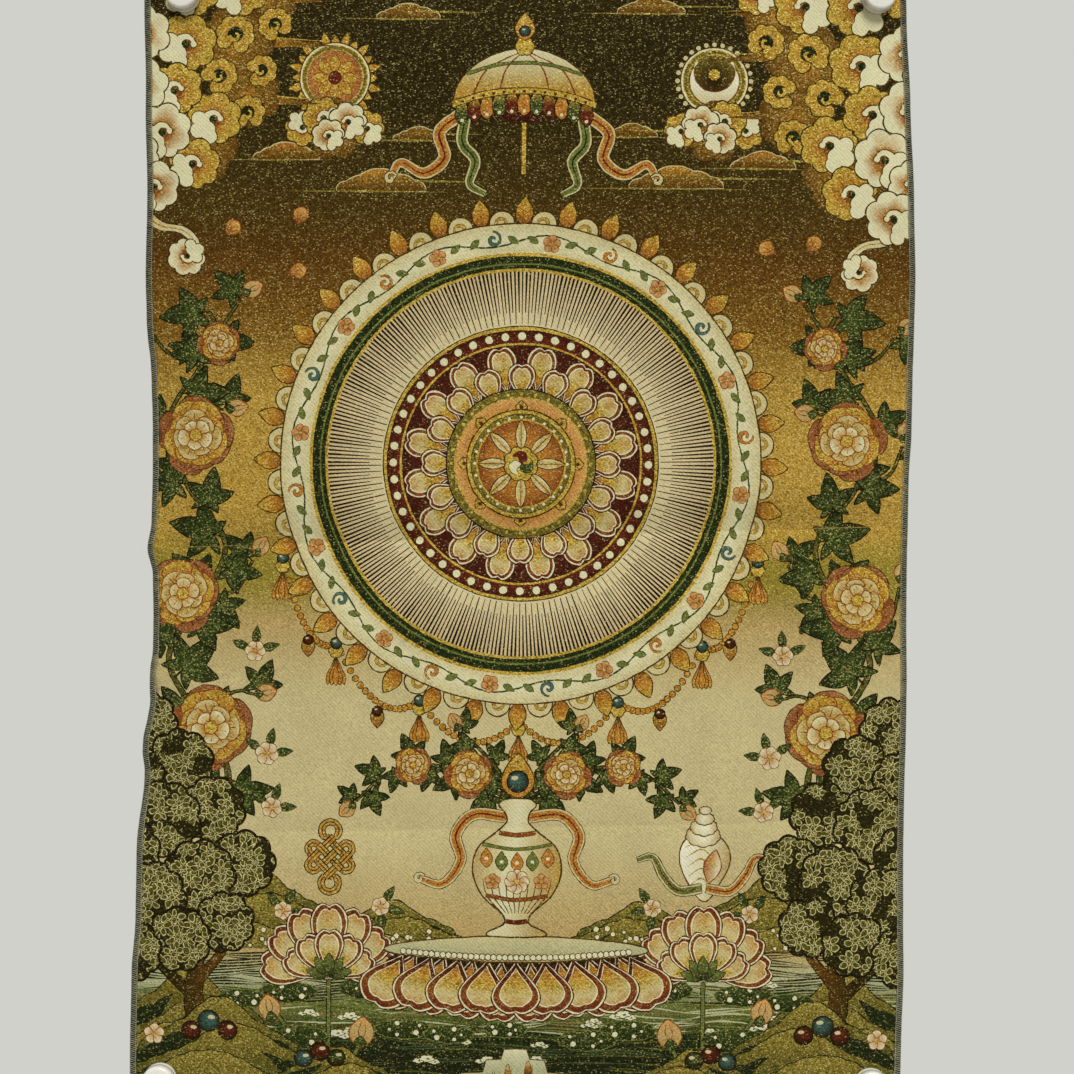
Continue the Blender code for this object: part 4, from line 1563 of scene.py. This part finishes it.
def make_overlock(folds, name, seed):
    """The wrapped thread of one edge and the needle thread along its inner side, as one piece."""
    rng = np.random.default_rng(seed)
    walk, inward = edge_walk(folds, name)
    lengths = np.concatenate([[0], np.cumsum(np.linalg.norm(np.diff(walk, axis=0), axis=1))])
    count = int((lengths[-1] - 2 * STITCH_LEAN) / STITCH_PITCH)
    pitch = (lengths[-1] - 1.6) / count

    def place(along, in_from_edge, forward):
        """The point of the cloth there, lifted off its middle."""
        at = np.stack([np.interp(along, lengths, walk[:, i]) for i in (0, 1)], 1)
        into = np.stack([np.interp(along, lengths, inward[:, i]) for i in (0, 1)], 1)
        on_cloth = at + into * np.maximum(in_from_edge, 0.0)[:, None]
        spot = at + into * in_from_edge[:, None]
        middle = folds.front(on_cloth[:, 0], on_cloth[:, 1]) - THICKNESS / 2
        middle = np.maximum(middle, 0.72 + THICKNESS / 2)
        return np.stack([spot[:, 0], -(middle + forward * THICKNESS / 2), -spot[:, 1]], 1)

    starts = np.repeat(np.arange(count) * pitch, len(STITCH))
    jitter = np.repeat(rng.normal(0, 0.07, count), len(STITCH))
    reach = np.repeat(rng.normal(0, 0.12, count), len(STITCH))
    turns = [np.tile([t[i] for t in STITCH], count) for i in range(3)]
    reach = np.where(turns[0] > 2, reach, 0)
    along = starts + turns[2] + jitter
    path = place(along, turns[0] + reach, turns[1])
    ahead = place(along + 0.5, turns[0] + reach, turns[1]) - path
    wrap, wrap_faces = tube(path, ahead, THREAD_HALF_WIDTH, THREAD_HALF_HEIGHT)

    links = np.arange(0, lengths[-1] - 0.5, pitch / 2)
    weave = np.where(np.arange(len(links)) % 2, 0.22, -0.22)
    chain_path = place(links, STITCH_REACH - 0.2 + weave, np.full(len(links), 1.7) + weave)
    across = np.tile((1.0, 0.0, 0.0), (len(links), 1)) if name in ("left", "right") else np.tile(
        (0.0, 0.0, 1.0), (len(links), 1))
    chain, chain_faces = tube(chain_path, across, 0.22, 0.2, 5)
    places = np.concatenate([wrap, chain]) * MM
    triangles = np.concatenate([wrap_faces, chain_faces + len(wrap)])
    return mesh_piece("overlock_" + name, places, triangles)


# The button magnets


def lathe(profile, sides):
    """The points and faces of a profile of radii and heights turned about the axis that its ends lie on."""
    points = [(0, 0, profile[0][1]), (0, 0, profile[-1][1])]
    for radius, height in profile[1:-1]:
        for side in range(sides):
            turn = 2 * math.pi * side / sides
            points.append((radius * math.cos(turn), radius * math.sin(turn), height))
    faces = []
    for side in range(sides):
        here = range(2 + side, len(points), sides)
        after = range(2 + (side + 1) % sides, len(points), sides)
        faces.append((0, here[0], after[0]))
        faces += [(here[i], here[i + 1], after[i + 1], after[i]) for i in range(len(here) - 1)]
        faces.append((1, after[-1], here[-1]))
    return points, faces


def make_button(name):
    """A round plastic button: crowned face, soft rim, a fine moulding line and a small foot."""
    centre, half = MAGNETS[name]
    radius, thickness = half.x, 2 * half.y
    back = centre.y + half.y
    profile = [(0, thickness)]
    crown, corner, groove, foot = CROWN * MM, CORNER * MM, GROOVE * MM, FOOT * MM
    for share in (0.25, 0.5, 0.75, 1.0):
        profile.append(((radius - corner) * share, thickness - crown * share**2))
    for step in range(1, 8):
        turn = math.pi / 2 * (1 - step / 8)
        out = radius - corner + corner * math.cos(turn)
        profile.append((out, thickness - crown - corner * (1 - math.sin(turn))))
    line = MOULDING_UP * thickness
    profile += [(radius, line + groove), (radius - groove, line), (radius, line - groove)]
    profile += [(radius, foot), (radius - groove, groove), (radius - foot, 0), (0, 0)]
    points, faces = lathe(profile, BUTTON_SIDES)
    mesh = bpy.data.meshes.new("button_" + name)
    mesh.from_pydata(points, [], faces)
    mesh.transform(Matrix.Translation((centre.x, back, centre.z)) @ Matrix.Rotation(math.radians(90), 4, "X"))
    mesh.shade_smooth()
    mesh.set_sharp_from_angle(angle=math.radians(50))
    return add_object("button_" + name, mesh)


# Materials


class Graph:
    """A material's nodes, added and joined in short calls."""

    def __init__(self, name):
        self.material = bpy.data.materials.new(name)
        self.material.use_nodes = True
        self.tree = self.material.node_tree
        self.shader = self.tree.nodes["Principled BSDF"]

    def node(self, kind, settings=None, **inputs):
        made = self.tree.nodes.new("ShaderNode" + kind)
        for key, value in (settings or {}).items():
            setattr(made, key, value)
        for key, value in inputs.items():
            self.feed(made.inputs[key.replace("_", " ")], value)
        return made

    def feed(self, socket, value):
        if isinstance(value, bpy.types.NodeSocket):
            self.tree.links.new(value, socket)
        else:
            socket.default_value = value

    def math(self, operation, one, two=0.0, three=0.0):
        made = self.tree.nodes.new("ShaderNodeMath")
        made.operation = operation
        for socket, value in zip(made.inputs, (one, two, three)):
            self.feed(socket, value)
        return made.outputs[0]

    def times(self, one, two):
        return self.math("MULTIPLY", one, two)

    def plus(self, one, two):
        return self.math("ADD", one, two)

    def span(self, value, low, high, to_low=0.0, to_high=1.0):
        """The value taken softly from one range to another."""
        made = self.node("MapRange", {"interpolation_type": "SMOOTHSTEP"}, Value=value)
        for name, number in (("From Min", low), ("From Max", high), ("To Min", to_low), ("To Max", to_high)):
            self.feed(made.inputs[name], number)
        return made.outputs[0]

    def mix(self, share, one, two, kind="MIX"):
        made = self.node("Mix", {"data_type": "RGBA", "blend_type": kind})
        self.feed(made.inputs[0], share)
        self.feed(made.inputs[6], one)
        self.feed(made.inputs[7], two)
        return made.outputs[2]

    def places(self, scale=1.0, stretch=(1.0, 1.0, 1.0)):
        """The surface's own place in millimetres, times a scale."""
        where = self.node("TexCoord").outputs["Object"]
        mapped = self.node("Mapping", Vector=where)
        mapped.inputs["Scale"].default_value = [scale * s / MM for s in stretch]
        return mapped.outputs[0]

    def vector(self, operation, one, two=(0.0, 0.0, 0.0)):
        """A distance or length where the operation gives one, else a vector."""
        made = self.tree.nodes.new("ShaderNodeVectorMath")
        made.operation = operation
        self.feed(made.inputs[0], one)
        self.feed(made.inputs[1], two)
        return made.outputs["Value" if operation in ("DISTANCE", "LENGTH") else "Vector"]

    def noise(self, scale, detail=2.0, stretch=(1.0, 1.0, 1.0)):
        made = self.node("TexNoise", Vector=self.places(scale, stretch), Scale=1.0, Detail=detail)
        return made.outputs["Fac"]

    def bump(self, height, distance):
        made = self.node("Bump", Height=height, Strength=1.0, Distance=distance)
        self.feed(self.shader.inputs["Normal"], made.outputs[0])


def brocade_material():
    """Close-woven colours with gold flecks whose colour holds painted glints, painted shade in the weave's
    recesses and along its ribs, and patches of wear and painted sheen; the design's colour comes from the
    mesh.
    """
    graph = Graph("brocade")
    design = graph.node("Attribute", {"attribute_name": "woven"})
    colour, glitter = design.outputs["Color"], design.outputs["Alpha"]
    light = graph.node("RGBToBW", Color=colour).outputs[0]

    rosette, centre = rosettes(graph)
    ringed = graph.node("Attribute", {"attribute_name": "rings"}).outputs["Fac"]
    colour = graph.mix(graph.times(centre, ringed), colour, tone(72, 68, 18))
    colour = graph.mix(graph.times(rosette, ringed), colour, tone(176, 166, 112))

    yarn = graph.places(0.98, (0.85, 1.0, 1.1))
    cells = graph.node("TexVoronoi", {"feature": "F1"}, Vector=yarn, Scale=1.0)
    chance = graph.node("SeparateColor", Color=cells.outputs["Color"]).outputs[0]
    rarity = graph.math("DIVIDE", 1.7, graph.plus(glitter, 0.02))
    fleck = graph.math("POWER", chance, rarity)
    fleck = graph.times(fleck, graph.span(cells.outputs["Distance"], 0.75, 0.2))
    fleck = graph.times(fleck, graph.span(glitter, 0.1, 0.7, 0.6, 1.0))
    # Painted shade: darker specks in the weave's recesses between the yarns, deepest on the gold-flecked
    # colours
    recess_shade = graph.math("POWER", graph.math("SUBTRACT", 1.0, chance), 3.0)
    recess_shade = graph.times(recess_shade, graph.span(glitter, 0.0, 0.8, 0.14, 0.6))

    grain = graph.span(graph.noise(1.0, 2.0, (0.8, 1.0, 1.1)), 0.28, 0.72, -1.0, 1.0)
    grain = graph.times(grain, graph.span(light, 0.0, 0.5, 0.55, 0.1))
    twill = graph.node("TexWave", {"wave_type": "BANDS", "bands_direction": "DIAGONAL"},
                       Vector=graph.places(), Scale=0.193, Distortion=1.2, Detail=2.0,
                       Detail_Scale=2.4).outputs["Fac"]
    # Broad patches a few per cent lighter or darker: wear, and painted sheen
    wear_and_sheen = graph.span(graph.noise(0.03, 2.0), 0.3, 0.7, -0.04, 0.04)
    value = graph.math("SUBTRACT", graph.plus(graph.plus(grain, 1.02), wear_and_sheen), recess_shade)
    # Painted shade along the twill's ribs: the colour a little lighter and darker across them
    value = graph.plus(value, graph.span(twill, 0.0, 1.0, -0.06, 0.06))
    grey = graph.node("CombineColor")
    for socket in grey.inputs:
        graph.feed(socket, value)
    woven = graph.mix(1.0, colour, grey.outputs[0], "MULTIPLY")

    # Gold flecks: gold yarn drawn pale and bright, with painted glints in its colour
    gold = graph.mix(0.25, tone(240, 222, 138), colour)
    graph.feed(graph.shader.inputs["Base Color"], graph.mix(fleck, woven, gold))
    graph.feed(graph.shader.inputs["Metallic"], graph.times(fleck, 0.3))
    graph.feed(graph.shader.inputs["Roughness"], graph.span(fleck, 0.0, 1.0, 0.85, 0.42))
    graph.shader.inputs["Specular IOR Level"].default_value = 0.06
    height = graph.plus(graph.times(twill, 0.4), graph.times(grain, 0.4))
    graph.bump(graph.plus(height, graph.times(fleck, 0.3)), 0.14 * MM)
    return graph.material


def rosettes(graph):
    """Overlapping rosettes of long rings round a small one: their lines, and the space inside them."""
    flat = graph.node("Mapping", Vector=graph.places(1.0, (1.0, 0.0, 1.0)))
    flat.inputs["Rotation"].default_value = (math.radians(90), 0, 0)
    wobble = graph.node("TexNoise", Vector=flat.outputs[0], Scale=0.13, Detail=1.0).outputs["Color"]
    place = graph.vector("ADD", flat.outputs[0], graph.vector("MULTIPLY", wobble, (5.0, 5.0, 0.0)))
    cells = graph.node("TexVoronoi", {"voronoi_dimensions": "2D", "feature": "F1"}, Vector=place,
                       Scale=1 / ROSETTE_PITCH, Randomness=0.75)
    offset = graph.vector("SUBTRACT", place, cells.outputs["Position"])
    chance = graph.node("SeparateColor", Color=cells.outputs["Color"]).outputs
    parts = graph.node("SeparateXYZ", Vector=offset)
    turn = graph.plus(graph.math("ARCTAN2", parts.outputs["Y"], parts.outputs["X"]), chance[1])
    step = 2 * math.pi / ROSETTE_RINGS
    aside = graph.math("SUBTRACT", turn, graph.math("SNAP", graph.plus(turn, step / 2), step))
    out = graph.vector("LENGTH", offset)
    along = graph.math("SUBTRACT", graph.times(out, graph.math("COSINE", aside)), ROSETTE_REACH)
    across = graph.times(out, graph.math("SINE", aside))
    ring = graph.node("CombineXYZ", X=graph.math("DIVIDE", along, RING_LENGTH), Y=across).outputs[0]
    nearest = graph.math("MINIMUM", graph.vector("LENGTH", ring), graph.times(out, 1.1))
    line = graph.times(graph.span(nearest, RING_RADIUS - 0.5, RING_RADIUS - 0.12),
                       graph.span(nearest, RING_RADIUS + 0.5, RING_RADIUS + 0.12))
    leafy = graph.span(chance[0], 0.07, 0.075)
    middle = graph.span(nearest, RING_RADIUS, RING_RADIUS - 0.5)
    return graph.times(line, leafy), graph.times(middle, leafy)


def thread_material():
    """Dark green-grey overlock thread, lighter and darker in places, with a fine twist."""
    graph = Graph("edging_thread")
    strand = graph.noise(0.55, 2.0)
    long = graph.noise(0.02, 1.0)
    dark, light = tone(118, 120, 94), tone(176, 174, 142)
    colour = graph.mix(graph.span(strand, 0.3, 0.7), dark, light)
    colour = graph.mix(graph.span(long, 0.35, 0.65, 0.0, 0.25), colour, tone(120, 112, 80))
    graph.feed(graph.shader.inputs["Base Color"], colour)
    graph.shader.inputs["Roughness"].default_value = 0.62
    graph.shader.inputs["Sheen Weight"].default_value = 0.15
    twist = graph.node("TexWave", {"wave_type": "BANDS", "bands_direction": "DIAGONAL"},
                       Vector=graph.places(), Scale=1.1, Distortion=1.0).outputs["Fac"]
    graph.bump(twist, 0.08 * MM)
    return graph.material


def plastic_material():
    """Smooth warm-white plastic with faint marks from handling."""
    graph = Graph("magnet_plastic")
    marks = graph.noise(0.35, 4.0)
    clean, worn = tone(222, 219, 208), tone(196, 190, 174)
    graph.feed(graph.shader.inputs["Base Color"], graph.mix(graph.span(marks, 0.55, 0.8), clean, worn))
    graph.feed(graph.shader.inputs["Roughness"], graph.span(marks, 0.3, 0.75, 0.2, 0.42))
    graph.shader.inputs["Coat Weight"].default_value = 0.3
    graph.bump(graph.noise(1.2, 2.0), 0.015 * MM)
    return graph.material


def floor_material():
    graph = Graph("pale_floor")
    cloudy = graph.noise(0.004, 2.0)
    one, two = tone(206, 205, 200), tone(212, 211, 207)
    graph.feed(graph.shader.inputs["Base Color"], graph.mix(cloudy, one, two))
    graph.shader.inputs["Roughness"].default_value = 0.85
    return graph.material


# The stage


def make_floor():
    near, far = -FLOOR_HALF, FLOOR_HALF
    corners = [(x, y, -FLOOR_DEPTH) for x, y in ((near, near), (far, near), (far, far), (near, far))]
    mesh = bpy.data.meshes.new("floor")
    mesh.from_pydata(corners, [], [(0, 1, 2, 3)])
    mesh.materials.append(floor_material())
    add_object("floor", mesh)


def make_camera():
    data = bpy.data.cameras.new("camera")
    data.angle = 2 * math.atan(VIEW_WIDTH / 2 / (VIEW_DISTANCE - CLOTH_STANDS_OFF))
    camera = add_object("camera", data)
    turn = Matrix.Rotation(math.radians(VIEW_ROLL), 4, "Y") @ Matrix.Rotation(math.radians(90), 4, "X")
    camera.matrix_world = Matrix.Translation((VIEW_X, -VIEW_DISTANCE, VIEW_Z)) @ turn
    bpy.context.scene.camera = camera


def point_light(light, direction):
    light.rotation_euler = Vector(direction).to_track_quat("-Z", "Y").to_euler()


def make_lights():
    """A pale surround, a broad light from above and in front, and a weak one from the right."""
    world = bpy.data.worlds.new("surround")
    world.use_nodes = True
    tree = world.node_tree
    backdrop = tree.nodes["Background"]
    ambient = tree.nodes.new("ShaderNodeBackground")
    for background, strength in ((backdrop, 1.0), (ambient, AMBIENT)):
        background.inputs["Color"].default_value = tone(209, 209, 204)
        background.inputs["Strength"].default_value = strength
    choice = tree.nodes.new("ShaderNodeMixShader")
    tree.links.new(tree.nodes.new("ShaderNodeLightPath").outputs["Is Camera Ray"], choice.inputs[0])
    tree.links.new(ambient.outputs[0], choice.inputs[1])
    tree.links.new(backdrop.outputs[0], choice.inputs[2])
    tree.links.new(choice.outputs[0], tree.nodes["World Output"].inputs["Surface"])
    bpy.context.scene.world = world
    key = bpy.data.lights.new("key", "SUN")
    key.energy = KEY_STRENGTH
    key.angle = math.radians(KEY_SPREAD)
    point_light(add_object("key", key), KEY_DIRECTION)
    fill = bpy.data.lights.new("fill", "AREA")
    fill.shape = "SQUARE"
    fill.size = 1.0
    fill.energy = FILL_POWER
    lamp = add_object("fill", fill)
    lamp.location = FILL_PLACE
    point_light(lamp, Vector(FILL_TARGET) - Vector(FILL_PLACE))
    bpy.context.scene.view_settings.view_transform = "Standard"


make_camera()
make_lights()
make_floor()

folds = Folds(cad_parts["brocade_cloth"])
cloth = make_cloth(folds, draw_design())
cloth.data.materials.append(brocade_material())
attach(cloth, "root")
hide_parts("brocade_cloth")

thread = thread_material()
for number, name in enumerate(("left", "right", "top", "bottom")):
    stitches = make_overlock(folds, name, number)
    stitches.data.materials.append(thread)
    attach(stitches, "root")
    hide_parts("edging_" + name)

plastic = plastic_material()
for name in MAGNETS:
    button = make_button(name)
    button.data.materials.append(plastic)
    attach(button, "root")
    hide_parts(name)

bpy.context.view_layer.update()
